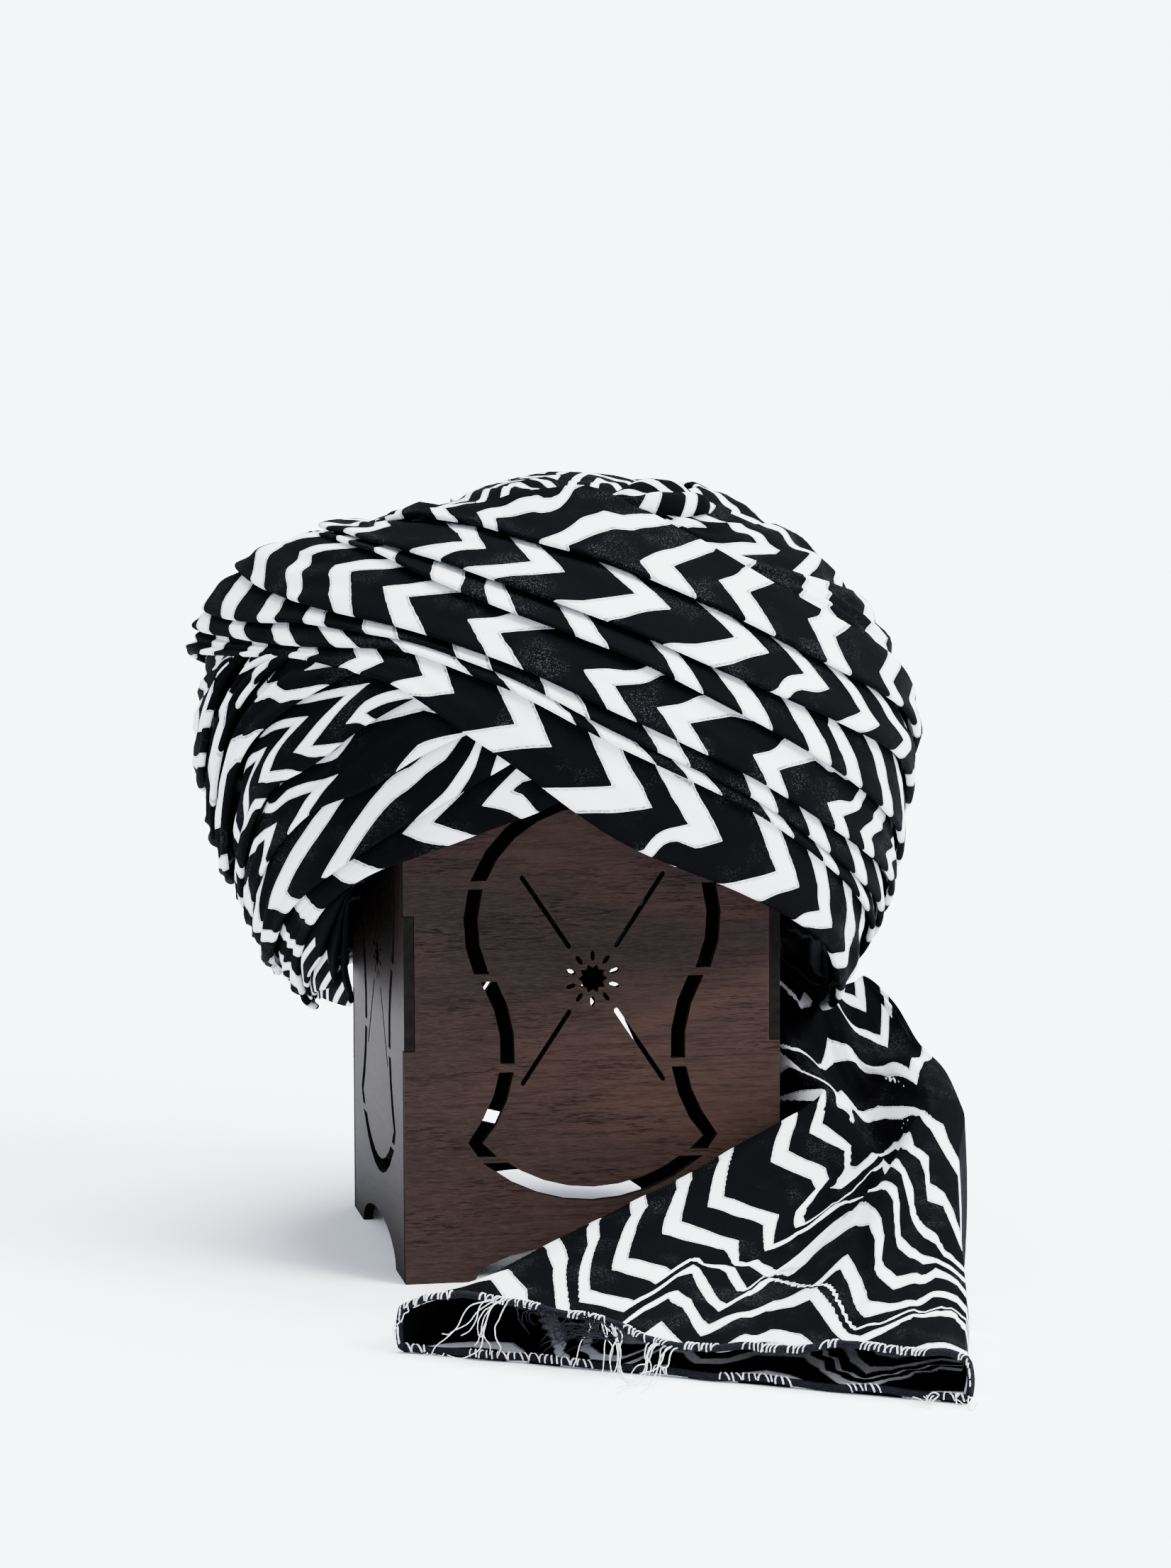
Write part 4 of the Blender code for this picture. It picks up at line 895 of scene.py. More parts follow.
# The free end of the cloth, a flattened sleeve that lies on the floor, open at its hem.
# Each section: left x, left y, right x, right y, left ridge, valley, right ridge, right edge
tail = {
    "origin": (-3.0, 66.0), "wall": 1.2, "shorterInside": 0.25,
    "rows": 150, "topSteps": 100, "floorSteps": 22, "sideSteps": 6, "bulge": 1.2,
    "crestStops": (0.0, 0.07, 0.2, 0.52, 0.8, 0.95, 1.0), "leftRise": (0.45, 0.8), "least": 1.2,
    # small folds: depth, how often across and along, and where in the noise
    "smallFolds": ((2.2, 9.0, 0.9, 1.5), (0.9, 24.0, 1.6, 7.5)),
    "edgeFade": 18.0,
    "mouthLift": (6.0, 8.0), "mouthSpread": (0.09, 0.7),  # both ends of the mouth stand open
    "foldScale": (200.0, 30.0), "foldEnd": 12.0, "foldCore": 2.4,
    # Each crease: its line as share of the width and row, the step down across it, and its width
    "folds": {
        "leftLayer": (((0.392, 0.0), (0.385, 1.0), (0.385, 2.0), (0.43, 2.4), (0.462, 2.9),
                       (0.468, 3.6), (0.43, 4.8), (0.4, 5.6)), 5.0, 8.0),
        "flap": (((0.46, 2.32), (0.52, 2.3), (0.58, 2.15), (0.66, 1.75), (0.72, 1.45)), -4.0, 7.0),
        "deep": (((0.49, 5.75), (0.55, 4.98), (0.65, 4.17), (0.73, 3.75)), -4.5, 10.0),
        "shelf": (((0.26, 5.6), (0.33, 5.85), (0.42, 6.4), (0.52, 6.5), (0.62, 6.1), (0.75, 5.7)),
                  3.5, 12.0),
        "back": (((0.62, 8.6), (0.66, 7.2), (0.74, 6.2), (0.86, 6.0), (1.0, 6.3)), 2.5, 12.0),
        "hemWave": (((0.62, 0.0), (0.6, 0.6), (0.56, 1.3)), 3.0, 8.0),
        "rightWave": (((0.8, 0.2), (0.8, 1.2), (0.78, 2.2), (0.72, 3.2)), -3.5, 9.0),
        "edgeWave": (((0.91, 0.8), (0.9, 1.8), (0.88, 2.8), (0.84, 3.8)), 3.0, 8.0),
    },
    "sections": (
        (-92, -186, 98, -303, 24, 12, 17, 8), (-66, -160, 105, -268, 31, 16, 24, 14),
        (-35, -135, 114, -232, 39, 21, 33, 24), (0, -113, 120, -198, 48, 25, 43, 36),
        (34, -97, 127, -162, 57, 29, 54, 48), (62, -87, 136, -127, 66, 35, 63, 58),
        (80, -77, 145, -94, 73, 48, 70, 66), (75.4, -46, 146, -58, 77, 60, 80, 75),
        (75.4, -18, 144, -22, 84, 70, 74, 79), (75.4, 8, 141, 12, 102, 93, 82, 90),
        (80, 32, 135, 44, 108, 103, 92, 96), (88, 50, 125, 59, 90, 92, 80, 60),
    ),
    "pitch": 0.95, "leastStripe": 0.01,
    # Each printed stripe from the hem up: share of the tail's width, and the stripe's lower and
    # upper edge there, counted in rows of sections. Where a fold hides it, it is a thin line.
    "stripes": (
        ((0.0, -0.9, -0.6), (0.03, 0.1, 0.45), (0.12, 0.42, 0.8), (0.2, -0.1, 0.35),
         (0.3, -1.2, -0.8), (0.42, -0.6, -0.5), (0.44, 0.0, 0.5), (0.5, -0.4, 0.1),
         (0.53, -0.5, -0.3), (0.6, 0.0, 0.37), (0.64, 0.14, 0.57), (0.7, 0.0, 0.4),
         (0.78, -0.7, -0.3), (0.86, -0.5, -0.25), (0.93, -0.1, 0.3), (1.0, 0.1, 0.4)),
        ((0.0, 2.18, 2.43), (0.1, 1.57, 1.82), (0.2, 0.87, 1.2), (0.3, -0.25, 0.1),
         (0.38, -0.3, 0.08), (0.39, -0.25, 0.05), (0.395, 0.3, 1.15), (0.41, 1.1, 1.38),
         (0.45, 0.95, 1.24), (0.5, 0.5, 0.8), (0.522, 0.28, 0.66), (0.56, 0.75, 1.1),
         (0.6, 1.2, 1.53), (0.66, 1.1, 1.65), (0.69, 1.2, 1.55), (0.75, 0.5, 0.95),
         (0.79, 0.0, 0.4), (0.81, 0.02, 0.3), (0.85, 0.4, 0.6), (0.9, 0.95, 1.03),
         (0.93, 1.15, 1.3), (0.98, 1.37, 1.52), (1.0, 1.25, 1.4)),
        ((0.0, 2.68, 2.85), (0.1, 2.24, 2.41), (0.2, 1.51, 1.74), (0.3, 0.24, 0.58),
         (0.38, 0.28, 0.62), (0.385, 1.4, 1.9), (0.4, 1.78, 1.97), (0.45, 1.43, 1.68),
         (0.5, 1.12, 1.33), (0.522, 0.95, 1.24), (0.53, 1.2, 2.1), (0.545, 2.05, 2.3),
         (0.56, 2.12, 2.2), (0.6, 1.97, 2.0), (0.66, 1.70, 1.73), (0.7, 1.58, 1.6),
         (0.72, 1.45, 1.47), (0.8, 0.45, 0.47), (0.84, 0.62, 0.65), (0.9, 1.12, 1.15),
         (1.0, 1.48, 1.5)),
        ((0.0, 3.16, 3.35), (0.1, 2.8, 3.03), (0.2, 2.24, 2.53), (0.3, 1.03, 1.43),
         (0.38, 1.14, 1.55), (0.385, 1.97, 2.0), (0.41, 2.05, 2.08), (0.43, 2.1, 2.25),
         (0.45, 2.05, 2.3), (0.5, 1.72, 1.95), (0.515, 1.6, 1.85), (0.523, 1.75, 1.77),
         (0.53, 2.2, 2.22), (0.56, 2.22, 2.24), (0.6, 2.05, 2.08), (0.66, 1.76, 1.8),
         (0.68, 1.66, 1.95), (0.717, 1.93, 2.35), (0.75, 1.53, 2.03), (0.8, 0.82, 1.37),
         (0.812, 0.66, 1.14), (0.85, 0.95, 1.18), (0.9, 1.2, 1.35), (0.915, 1.4, 1.62),
         (0.93, 1.58, 1.7), (0.98, 1.68, 1.83), (1.0, 1.6, 1.75)),
        ((0.0, 3.66, 3.89), (0.05, 3.62, 3.87), (0.1, 3.45, 3.68), (0.2, 2.95, 3.22),
         (0.3, 2.03, 2.45), (0.38, 2.24, 2.68), (0.41, 2.37, 2.74), (0.445, 2.35, 2.4),
         (0.458, 2.5, 2.75), (0.5, 2.4, 2.68), (0.522, 2.32, 2.62), (0.53, 2.3, 4.25),
         (0.55, 2.28, 4.55), (0.575, 2.2, 4.45), (0.59, 2.5, 4.35), (0.6, 2.75, 4.28),
         (0.65, 2.95, 3.87), (0.7, 3.03, 3.6), (0.75, 2.8, 3.2), (0.78, 2.4, 2.95),
         (0.8, 1.75, 2.6), (0.812, 1.6, 1.9), (0.85, 1.45, 1.76), (0.9, 1.7, 1.95),
         (0.93, 1.97, 2.2), (0.98, 2.03, 2.16), (1.0, 1.9, 2.05)),
        ((0.0, 4.6, 4.95), (0.015, 4.22, 4.4), (0.04, 4.22, 4.53), (0.1, 4.03, 4.35),
         (0.2, 3.62, 3.87), (0.3, 2.87, 3.2), (0.38, 3.14, 3.47), (0.41, 3.22, 3.6),
         (0.46, 2.87, 3.1), (0.47, 3.45, 4.6), (0.49, 4.6, 4.75), (0.5, 4.7, 4.75),
         (0.55, 4.98, 5.0), (0.6, 4.62, 4.64), (0.65, 4.16, 4.18), (0.69, 3.8, 3.85),
         (0.72, 3.7, 4.0), (0.75, 3.58, 3.85), (0.8, 3.24, 3.58), (0.825, 2.7, 3.2),
         (0.835, 2.35, 2.66), (0.87, 2.18, 2.45), (0.9, 2.2, 2.45), (0.93, 2.3, 2.42),
         (1.0, 2.2, 2.3)),
        ((0.0, 6.7, 7.1), (0.012, 6.0, 6.6), (0.03, 5.6, 6.2), (0.045, 5.22, 5.53),
         (0.1, 5.1, 5.49), (0.2, 4.7, 5.1), (0.29, 4.08, 4.47), (0.38, 4.45, 4.85),
         (0.41, 4.4, 4.78), (0.43, 3.8, 4.3), (0.445, 3.65, 3.9), (0.465, 3.58, 3.83),
         (0.475, 4.7, 4.8), (0.5, 5.5, 5.6), (0.53, 5.72, 5.95), (0.6, 5.4, 5.68),
         (0.65, 5.0, 5.28), (0.7, 4.5, 4.83), (0.75, 4.16, 4.45), (0.8, 3.87, 4.08),
         (0.85, 3.2, 3.66), (0.863, 2.99, 3.28), (0.9, 2.8, 3.03), (0.93, 2.72, 2.95),
         (0.95, 2.5, 2.66), (1.0, 2.41, 2.5)),
        ((0.0, 7.4, 7.5), (0.08, 7.0, 7.05), (0.13, 6.0, 6.6), (0.2, 5.55, 5.78),
         (0.28, 4.93, 5.3), (0.38, 5.35, 5.53), (0.41, 5.2, 5.35), (0.43, 4.6, 5.5),
         (0.46, 5.4, 5.85), (0.5, 5.95, 6.0), (0.55, 6.05, 6.1), (0.6, 5.98, 6.1),
         (0.62, 5.74, 6.0), (0.65, 5.45, 5.95), (0.7, 5.07, 5.53), (0.75, 4.66, 5.16),
         (0.8, 4.47, 4.68), (0.85, 4.3, 4.53), (0.88, 4.0, 4.4), (0.9, 3.5, 3.9), (0.95, 3.5, 3.8),
         (0.98, 3.1, 3.58), (1.0, 2.8, 3.2)),
        ((0.0, 7.9, 8.0), (0.15, 7.2, 7.9), (0.19, 6.8, 6.9), (0.26, 5.75, 6.1),
         (0.275, 5.67, 6.2), (0.3, 5.75, 6.35), (0.35, 5.85, 6.7), (0.4, 6.4, 7.0),
         (0.45, 6.7, 7.3), (0.5, 6.6, 6.9), (0.55, 6.6, 6.9), (0.6, 6.45, 6.8), (0.65, 6.07, 6.45),
         (0.7, 5.87, 6.07), (0.75, 5.6, 5.75), (0.8, 5.28, 5.53), (0.85, 5.07, 5.4),
         (0.9, 4.75, 5.35), (0.95, 4.5, 4.95), (1.0, 4.3, 4.7)),
        ((0.0, 8.6, 8.9), (0.2, 7.6, 7.7), (0.35, 7.5, 7.6), (0.5, 8.1, 8.5), (0.62, 8.0, 8.3),
         (0.68, 6.9, 7.7), (0.76, 6.3, 6.7), (0.9, 7.0, 7.4), (1.0, 7.5, 7.95)),
        ((0.0, 9.6, 9.9), (0.35, 8.6, 8.7), (0.5, 8.9, 9.5), (0.58, 9.2, 9.9), (0.68, 9.0, 9.2),
         (0.85, 8.3, 8.65), (1.0, 9.2, 9.5)),
    ),
}


def foldLift(x, y):  # the cloth steps down across each crease
    lift = np.zeros_like(x)
    for line, step, width in tail["folds"].values():
        places = np.array(line) * tail["foldScale"]
        best, sided = np.full(x.shape, 1e9), np.zeros_like(x)
        for (ax, ay), (bx, by) in zip(places, places[1:]):
            dx, dy = bx - ax, by - ay
            t = np.clip(((x - ax) * dx + (y - ay) * dy) / (dx * dx + dy * dy), 0, 1)
            away = np.hypot(x - ax - t * dx, y - ay - t * dy)
            cross = (x - ax) * dy - (y - ay) * dx
            closer = away < best
            best, sided = np.where(closer, away, best), np.where(closer, np.sign(cross), sided)
        ends = np.minimum(*[np.hypot(x - ax, y - ay) for ax, ay in places[[0, -1]]])
        lift -= (sided * 0.5 * step * np.tanh(best / tail["foldCore"]) * np.exp(-best / width)
                 * np.clip(ends / tail["foldEnd"], 0, 1))
    return lift


lastSection, topShares = len(tail["sections"]) - 1, evenly(tail["topSteps"])


def tailGrid(inset):
    reads = [smoothCurve(range(len(values)), values) for values in zip(*tail["sections"])]
    last = lastSection - (tail["shorterInside"] if inset else 0.0)
    rows = [last * step / tail["rows"] for step in range(tail["rows"] + 1)]
    across, along = np.meshgrid(topShares, rows)
    folds = foldLift(across * tail["foldScale"][0], along * tail["foldScale"][1])
    sides, rings = evenly(tail["sideSteps"])[1:-1], []
    for place, row in enumerate(rows):
        leftX, leftY, rightX, rightY, leftRidge, valley, rightRidge, rightEdge = [
            read(row) for read in reads]
        width = math.hypot(rightX - leftX, rightY - leftY)
        crest = smoothCurve(tail["crestStops"], (
            *[share * leftRidge for share in tail["leftRise"]], leftRidge, valley, rightRidge,
            (rightRidge + rightEdge) / 2, rightEdge))
        tops = []
        for spot, share in enumerate(topShares):
            fold = folds[place, spot]
            for deep, wide, long, seed in tail["smallFolds"]:
                fold += deep * noise.noise(Vector((share * wide, row * long, seed)))
            edge = min(share, 1 - share) * width
            height = crest(share) - inset + fold * min(1.0, edge / tail["edgeFade"])
            wide, long = tail["mouthSpread"]
            for corner, lift in zip((share, 1 - share), tail["mouthLift"]):
                height += lift * math.exp(-(corner / wide) ** 2 - (row / long) ** 2)
            tops.append(max(height, inset + tail["least"]))

        def bulged(start, way, top, shares):  # the sides are rounded
            return [(start + way * tail["bulge"] * math.sin(math.pi * t) / width,
                     inset + (top - inset) * t) for t in shares]

        path = [(0.0, inset)] + bulged(0, -1, tops[0], sides) + list(zip(topShares, tops))
        path += bulged(1, 1, tops[-1], sides[::-1])
        path += [(1 - share, inset) for share in evenly(tail["floorSteps"])[:-1]]
        narrower, ring = inset / width, []
        for share, height in path:
            share = narrower + share * (1 - 2 * narrower)
            ring.append(((tail["origin"][0] + leftX + (rightX - leftX) * share) * mm,
                         (tail["origin"][1] + leftY + (rightY - leftY) * share) * mm, height * mm))
        rings.append(ring)
    return np.array(rings)


def stripeNumbers(share, rows):  # the stripe's number at each row of the tail
    edges, numbers = [], []
    for number, stripe in enumerate(tail["stripes"]):
        for column, extra in ((1, 0.0), (2, stripeShare)):
            edge = lookUp(stripe, share, column)
            edges.append(max(edge, edges[-1] + tail["leastStripe"]) if edges else edge)
            numbers.append(number + extra)
    read = countCurve(edges, numbers, tail["pitch"], tail["pitch"])
    return [read(row) for row in rows]


def lengthAlong(points, way):
    steps = np.linalg.norm(np.diff(points, axis=way), axis=2)
    return np.insert(np.cumsum(steps, way), 0, 0.0, way)


tailOuter, tailInner = tailGrid(0.0), tailGrid(tail["wall"])
points = np.concatenate([tailInner[::-1], tailOuter])
lengths = lengthAlong(points, 0)
lengths = np.abs(lengths - lengths[len(tailInner)])
shares = [0.0] * tail["sideSteps"] + topShares + [1.0] * tail["sideSteps"]
shares += [1 - share for share in evenly(tail["floorSteps"])[1:-1]]
rows = [lastSection * step / tail["rows"] for step in range(tail["rows"] + 1)]
numbers = np.array([stripeNumbers(share, rows) for share in shares]).T
numbers = np.concatenate([numbers[::-1], numbers])
prints = np.stack([numbers, numbers * 0], -1)
cloths = np.stack([lengths, lengthAlong(points, 1)], -1)
cloths = np.concatenate([cloths, cloths[:, -1:]], 1)
tailCloth = clothPiece("tailCloth", points, prints, cloths, printedCloth, False)
settle(tailCloth, "printed_voile", "tail_cloth")
print("tail laid")


def plainCloth(name, colour, thread):
    made, kit, shader, place = newMaterial(name, 0.85, 0.02)
    twist = kit.grain(place, thread, 2.0)
    worn = kit.mix(kit.soft(twist, 0.35, 0.7), tinted(colour, 0.45), colour)
    dress(kit, shader, worn, twist, 0.5, 0.0002)
    return made


hemDark = plainCloth("rolledHem", (0.006, 0.006, 0.008), 1500.0)
hemWhite = plainCloth("overlockThread", (0.72, 0.73, 0.76), 2600.0)


def tube(points, radii, sides):  # vertices and faces of a closed-ended tube
    points = [Vector(p) for p in points]
    verts, faces, side = [], [], None
    for place, (point, radius) in enumerate(zip(points, np.broadcast_to(radii, len(points)))):
        ahead = points[min(place + 1, len(points) - 1)] - points[max(place - 1, 0)]
        ahead.normalize()
        if side is None:
            side = ahead.orthogonal().normalized()
        side = (side - ahead * side.dot(ahead)).normalized()
        up = ahead.cross(side)
        for step in range(sides):
            angle = math.tau * step / sides
            verts.append(point + (side * math.cos(angle) + up * math.sin(angle)) * float(radius))
    for start in range(0, len(verts) - sides, sides):
        for step in range(sides):
            a, b = start + step, start + (step + 1) % sides
            faces.append((a, b, b + sides, a + sides))
    faces.append(range(sides)[::-1])
    faces.append(range(len(verts) - sides, len(verts)))
    return verts, faces


def gather(name, parts, material, slot):  # many small tubes in one piece
    verts, faces = [], []
    for partVerts, partFaces in parts:
        faces += [[v + len(verts) for v in face] for face in partFaces]
        verts += [tuple(v) for v in partVerts]
    piece = newPiece(name, smoothMesh(name, verts, faces, material))
    settle(piece, slot)
    return piece


# The mouth's edge runs from the left corner over the top to the right one, and back on the floor
hem = {
    "radius": 1.45, "every": 2.0, "out": (0.9, 1.3), "drop": 1.1, "clear": 0.2,
    "wander": (0.11, 0.09),
    "curls": ((1.0, 1.5), (1.0, 0.5)),
    "stitchEvery": 1.55, "stitchRadius": 0.27, "seed": 11, "stitchSteps": 6, "stitchSeat": 0.6,
    "stitchGaps": (0.13, 3.0, -0.05), "stitchTurn": 150, "stitchLength": 2.6,
    "starts": (-50, -10), "slants": (-0.6, 1.6), "thickness": (0.75, 1.35), "sides": (8, 5),
}
mouth = [Vector(p) for p in tailOuter[0]]
floorStart = 2 * tail["sideSteps"] + tail["topSteps"]
middle, inside = tail["topSteps"] // 2, 6  # a point on the hem, and rows into the sleeve
outward = Vector(tailOuter[0][middle]) - Vector(tailOuter[inside][middle])
outward.z = 0
outward.normalize()


def walk(points, step):  # evenly spaced places along a line, with the direction there
    made, left = [], 0.0
    for a, b in zip(points, points[1:]):
        length = (b - a).length
        while left < length:
            made.append((a + (b - a) * (left / length), (b - a).normalized()))
            left += step
        left -= length
    return made


def hemEdge(points, seed, lift):  # the rolled edge wanders a little
    made = []
    for place, (point, _) in enumerate(walk(points, hem["every"] * mm)):
        wobble, drop = [noise.noise(Vector((place * often, seed + more, 0.0)))
                        for often, more in zip(hem["wander"], (0.0, 5.0))]
        rise = max(lift + hem["drop"] * drop, hem["radius"] + hem["clear"] - point.z / mm)
        made.append(point + outward * (hem["out"][0] + hem["out"][1] * wobble) * mm
                    + Vector((0, 0, rise * mm)))
    return made


upperHem = hemEdge(mouth[1:floorStart], 2.0, 0.2)
lowerHem = hemEdge(mouth[floorStart:] + mouth[:1], 9.0, 2.2)
hemLines = [upperHem, lowerHem]
for last, first, outs in zip((upperHem, lowerHem), (lowerHem, upperHem), hem["curls"]):
    hemLines.append([point + outward * out * mm for point, out in zip((last[-1], first[0]), outs)])
edges = [tube(line, hem["radius"] * mm, hem["sides"][0]) for line in hemLines]
rolledHem = gather("tailHem", edges, hemDark, "printed_voile")

random = np.random.default_rng(hem["seed"])
stitches = []
radius = (hem["radius"] + hem["stitchRadius"] * hem["stitchSeat"]) * mm
often, seed, least = hem["stitchGaps"]
for line, dense in ((upperHem, 1.0), (lowerHem, 1.4)):
    for place, (point, ahead) in enumerate(walk(line, hem["stitchEvery"] * dense * mm)):
        if noise.noise(Vector((place * often, dense, seed))) < least:
            continue
        slant = float(random.uniform(*hem["slants"])) * hem["stitchLength"] * mm
        arc = []
        for step, share in enumerate(evenly(hem["stitchSteps"])):
            first = float(random.uniform(*hem["starts"]))
            angle = math.radians(hem["stitchTurn"] * share if step else first)
            arc.append(point + outward * radius * math.cos(angle)
                       + Vector((0, 0, radius * math.sin(angle))) + ahead * (share - 0.5) * slant)
        thick = hem["stitchRadius"] * float(random.uniform(*hem["thickness"])) * mm
        stitches.append(tube(arc, thick, hem["sides"][1]))
hemStitches = gather("tailStitches", stitches, hemWhite, "hem_thread")
print("hem rolled and stitched")

# Frayed ends: each tuft's edge, its place along it, its threads, their length and spread
frays = {
    "seed": 5, "radius": 0.26, "thinner": 0.4, "steps": 22,
    "tufts": {
        "leftTuft": (upperHem, 0.05, 3, 12.0, 3.0, "white"),
        "leftCurls": (lowerHem, 0.96, 4, 20.0, 5.0, "white"),
        "leftKnot": (upperHem, 0.235, 9, 40.0, 2.6, "white"),
        "darkTuft": (upperHem, 0.29, 10, 24.0, 4.0, "dark"),
        "midStrip": (upperHem, 0.375, 26, 34.0, 5.0, "dark"),
        "midEnds": (upperHem, 0.40, 8, 44.0, 4.0, "white"),
        "rightLoop": (upperHem, 0.49, 8, 42.0, 3.0, "white"),
        "cornerCurl": (lowerHem, 0.04, 6, 26.0, 3.0, "white"),
    },
    "sag": 0.22, "floor": 1.2, "apart": (0.1, 0.12), "sides": 4,
    "out": 0.8, "up": 0.1, "lean": 0.7, "fan": 0.3, "reach": (0.5, 1.0), "push": 0.9,
    # a thread wanders with its tuft and alone: three steps in the noise, the ways' distance there
    # and the push
    "together": (0.16, 3.1, 0.4, 9.0, 0.9), "alone": (0.3, 1.7, 2.3, 5.0, 0.55),
}


def wandering(place, apart, far):  # a push from the noise, in every direction
    return Vector([noise.noise(Vector(place) + Vector((0, 0, apart * k))) * far for k in range(3)])


random = np.random.default_rng(frays["seed"])
threads = {"white": [], "dark": []}
thick = [frays["radius"] * (1 - frays["thinner"] * share) * mm for share in evenly(frays["steps"])]
for tuft, (line, share, count, length, spread, kind) in enumerate(frays["tufts"].values()):
    place = int(share * (len(line) - 1))
    root = line[place]
    ahead = (line[min(place + 2, len(line) - 1)] - root).normalized()
    lean = float(random.uniform(-frays["lean"], frays["lean"]))
    for thread in range(count):
        spot = root + ahead * float(random.normal(0, spread)) * mm
        heading = outward * frays["out"] + ahead * (lean + float(random.normal(0, frays["fan"])))
        heading.z += frays["up"]
        heading.normalize()
        reach = length * float(random.uniform(*frays["reach"]))
        path = []
        for step in range(frays["steps"] + 1):
            path.append(spot.copy())
            a, b, c, apart, far = frays["together"]
            push = wandering((step * a, tuft * b, c * thread / count), apart, far)
            a, b, c, apart, far = frays["alone"]
            push += wandering((step * a, thread * b, tuft * c), apart, far)
            sag = 0.0 if spot.z / mm < frays["floor"] else -frays["sag"]
            heading = heading + push * frays["push"] + Vector((0, 0, sag))
            heading.normalize()
            spot = spot + heading * (reach / frays["steps"]) * mm
            least, more = frays["apart"]
            spot.z = max(spot.z, (frays["radius"] + least + more * (thread % 5)) * mm)
        threads[kind].append(tube(path, thick, frays["sides"]))
whiteFrays = gather("whiteFrays", threads["white"], hemWhite, "hem_thread")
darkFrays = gather("darkFrays", threads["dark"], hemDark, "printed_voile")
print("frayed ends hung")

# The boards: each keeps its CAD shape, with its sharp edges broken
board = {
    "edge": 0.00035, "merged": 0.00002, "flatDegrees": 1.0, "sharpDegrees": 50,
    # each layer of the grain: its stretch, detail, roughness and distortion
    "layers": (((2.4, 2.4, 11.0), 4.0, 0.6, 1.0), ((34.0, 34.0, 620.0), 4.0, 0.6, 0.5),
               ((260.0, 260.0, 2600.0), 2.0, 0.6, 0.0), ((170.0, 170.0, 1900.0), 2.0, 0.5, 0.0),
               ((14.0, 14.0, 55.0), 2.0, 0.5, 0.0)),
    "brown": ((0.0095, 0.0066, 0.0061), (0.0235, 0.0124, 0.0094)), "brownRange": (0.32, 0.68),
    # streaks and fine grain: their range, share and colour
    "tints": ((0.45, 0.68, 0.62, (0.0052, 0.0034, 0.0031)),
              (0.4, 0.7, 0.3, (0.030, 0.0200, 0.0172))),
    "pore": (0.0018, 0.0012, 0.0012), "poreRange": (0.56, 0.64), "patchRange": (0.4, 0.66),
    # rim is a lighter brown painted on the broken edges' bevels, a painted highlight
    "char": ((0.0012, 0.0011, 0.0011), (0.0060, 0.0052, 0.0050)), "rim": (0.045, 0.036, 0.033),
}


def makeWood():
    kit, given, made = newGroup(
        "walnutGrain", [("Place", vectorSocket), ("Tone", floatSocket, 1.0)],
        [("Colour", "NodeSocketColor"), ("Height", floatSocket)])
    bands, streaks, fine, pores, patches = [
        kit.grain(given["Place"], 1.0, *look, stretch=stretch)
        for stretch, *look in board["layers"]]
    pores = kit.times(kit.soft(pores, *board["poreRange"]), kit.soft(patches, *board["patchRange"]))
    colour = kit.mix(kit.soft(bands, *board["brownRange"]), *board["brown"])
    for layer, (low, high, share, tint) in zip((streaks, fine), board["tints"]):
        colour = kit.mix(kit.times(kit.soft(layer, low, high), share), colour, tint)
    colour = kit.mix(kit.times(pores, 0.75), colour, board["pore"])
    # Tone scales the colour; the boards use it by the way they face, as painted shade
    scaled = kit.add("VectorMath", {0: colour, 3: given["Tone"]}, operation="SCALE").outputs[0]
    height = kit.minus(kit.times(fine, 0.4), kit.times(pores, 0.8))
    kit.fill(made, {"Colour": scaled, "Height": height})
    return kit.tree


walnutGrain = makeWood()


def woodMaterial(name, face, tone):  # charred where the surface turns away from the board's face, and painted lighter on the bevels between as a painted highlight
    made, kit, shader, place = newMaterial(name, 0.6, 0.022)
    wood = kit.add("Group", {"Place": place, "Tone": tone}, node_tree=walnutGrain).outputs
    normal = kit.add("NewGeometry").outputs["Normal"]
    facing = kit.add("VectorMath", (normal, face), operation="DOT_PRODUCT").outputs[1]
    facing = kit.maths("ABSOLUTE", facing)
    cut = kit.minus(1.0, kit.soft(facing, 0.25, 0.6))
    # the bevels, half turned from the face, get the rim colour: a painted highlight
    rim = kit.times(kit.soft(facing, 0.3, 0.6), kit.minus(1.0, kit.soft(facing, 0.85, 0.97)))
    char = kit.mix(kit.grain(place, 260.0, 3.0), *board["char"])
    colour = kit.mix(cut, kit.mix(rim, wood["Colour"], board["rim"]), char)
    kit.fill(shader, {"Roughness": kit.plus(0.6, kit.times(cut, 0.3))})
    dress(kit, shader, colour, wood["Height"], 0.4, 0.00015)
    return made
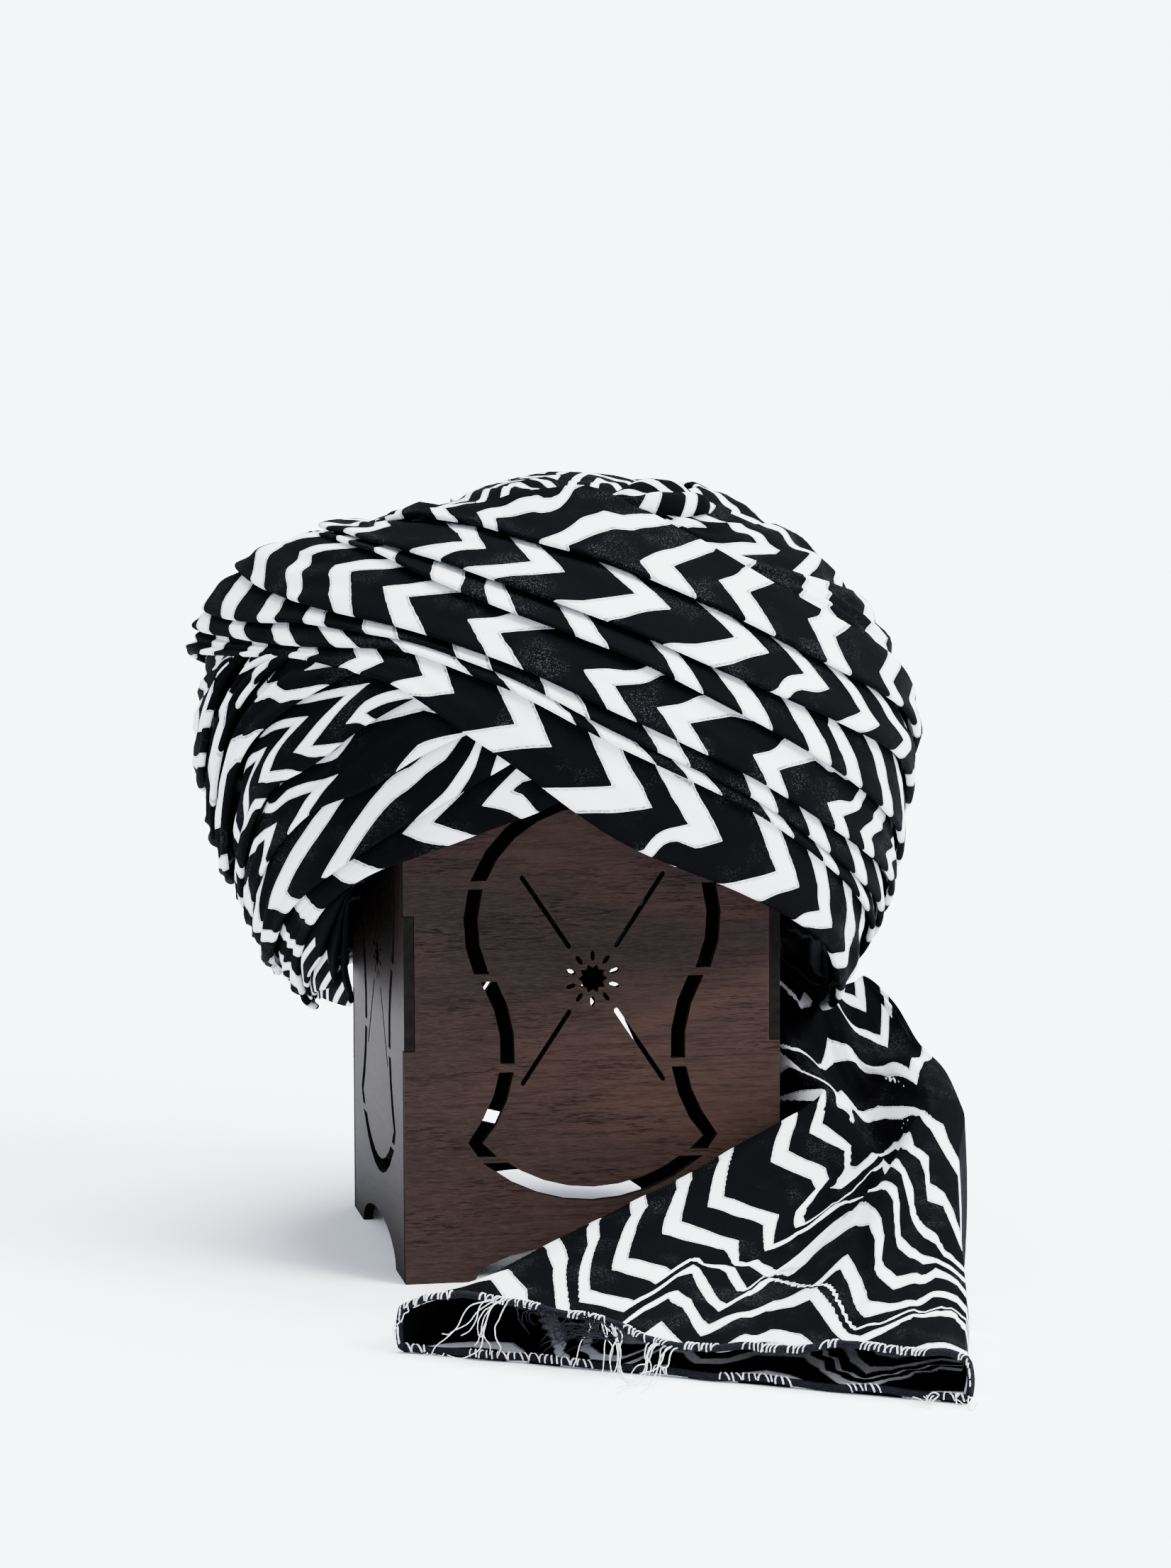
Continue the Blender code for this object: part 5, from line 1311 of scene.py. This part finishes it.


# the same walnut on every board, its tone set by which way the board faces: the side boards
# darkened to 0.8 and the top to 0.9 of the front as painted shade
frontWood = woodMaterial("walnutFront", (0, 1, 0), 1.0)
sideWood = woodMaterial("walnutSide", (1, 0, 0), 0.8)
topWood = woodMaterial("walnutTop", (0, 0, 1), 0.9)
for part, wood in (("front", frontWood), ("back", frontWood), ("left", sideWood),
                   ("right", sideWood), ("top", topWood)):
    name, node = part + "Board", "box_%s_panel" % part
    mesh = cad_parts[node].data.copy()
    mesh.name = name
    piece = newPiece(name, mesh, board["merged"], math.radians(board["flatDegrees"]))
    bevel = piece.modifiers.new("brokenEdge", "BEVEL")
    bevel.width = board["edge"]
    bevel.segments = 2
    bevel.limit_method = "ANGLE"
    bevel.angle_limit = math.radians(board["sharpDegrees"])
    bpy.ops.object.modifier_apply(modifier=bevel.name)
    bpy.ops.object.shade_flat()
    piece.data.materials.clear()
    piece.data.materials.append(wood)
    settle(piece, "walnut_board", node)
print("boards cut")

# Floor and light
studio = {
    "floor": (0.86, 0.885, 0.955), "world": (0.88, 0.94, 1.06), "worldStrength": 1.35,
    "lookAt": (0, 80, 150),
    "lights": (  # name, place that the light comes from, softness in degrees, strength, colour
        ("rightSoftLight", (3600, -2300, 3500), 34.0, 16.0, (1.0, 0.99, 0.97)),
        ("topSoftLight", (700, 500, 4600), 45.0, 15.5, (0.97, 0.985, 1.0)),
        ("leftSoftLight", (-4200, -2600, 2800), 60.0, 0.8, (0.95, 0.975, 1.0)),
    ),
}
bpy.ops.mesh.primitive_plane_add(size=200, location=(0, 0, 0))
floor = bpy.context.object
floor.name = "studioFloor"
paper, kit, shader, _ = newMaterial("studioPaper", 0.8, 0.1)
kit.fill(shader, {"Base Color": (*studio["floor"], 1)})
floor.data.materials.append(paper)
world = bpy.data.worlds.new("studioWorld")
world.use_nodes = True
sky = world.node_tree.nodes["Background"]
nodeKit(world.node_tree).fill(sky, ((*studio["world"], 1), studio["worldStrength"]))
bpy.context.scene.world = world
for name, place, softness, strength, colour in studio["lights"]:
    lamp = bpy.data.lights.new(name, "SUN")
    lamp.angle = math.radians(softness)
    lamp.energy = strength
    lamp.color = colour
    holder = bpy.data.objects.new(name, lamp)
    holder.location = [mm * v for v in place]
    holder.rotation_mode = "QUATERNION"
    holder.rotation_quaternion = (Vector(studio["lookAt"]) - Vector(place)).to_track_quat("-Z", "Y")
    bpy.context.collection.objects.link(holder)
print("studio lit")
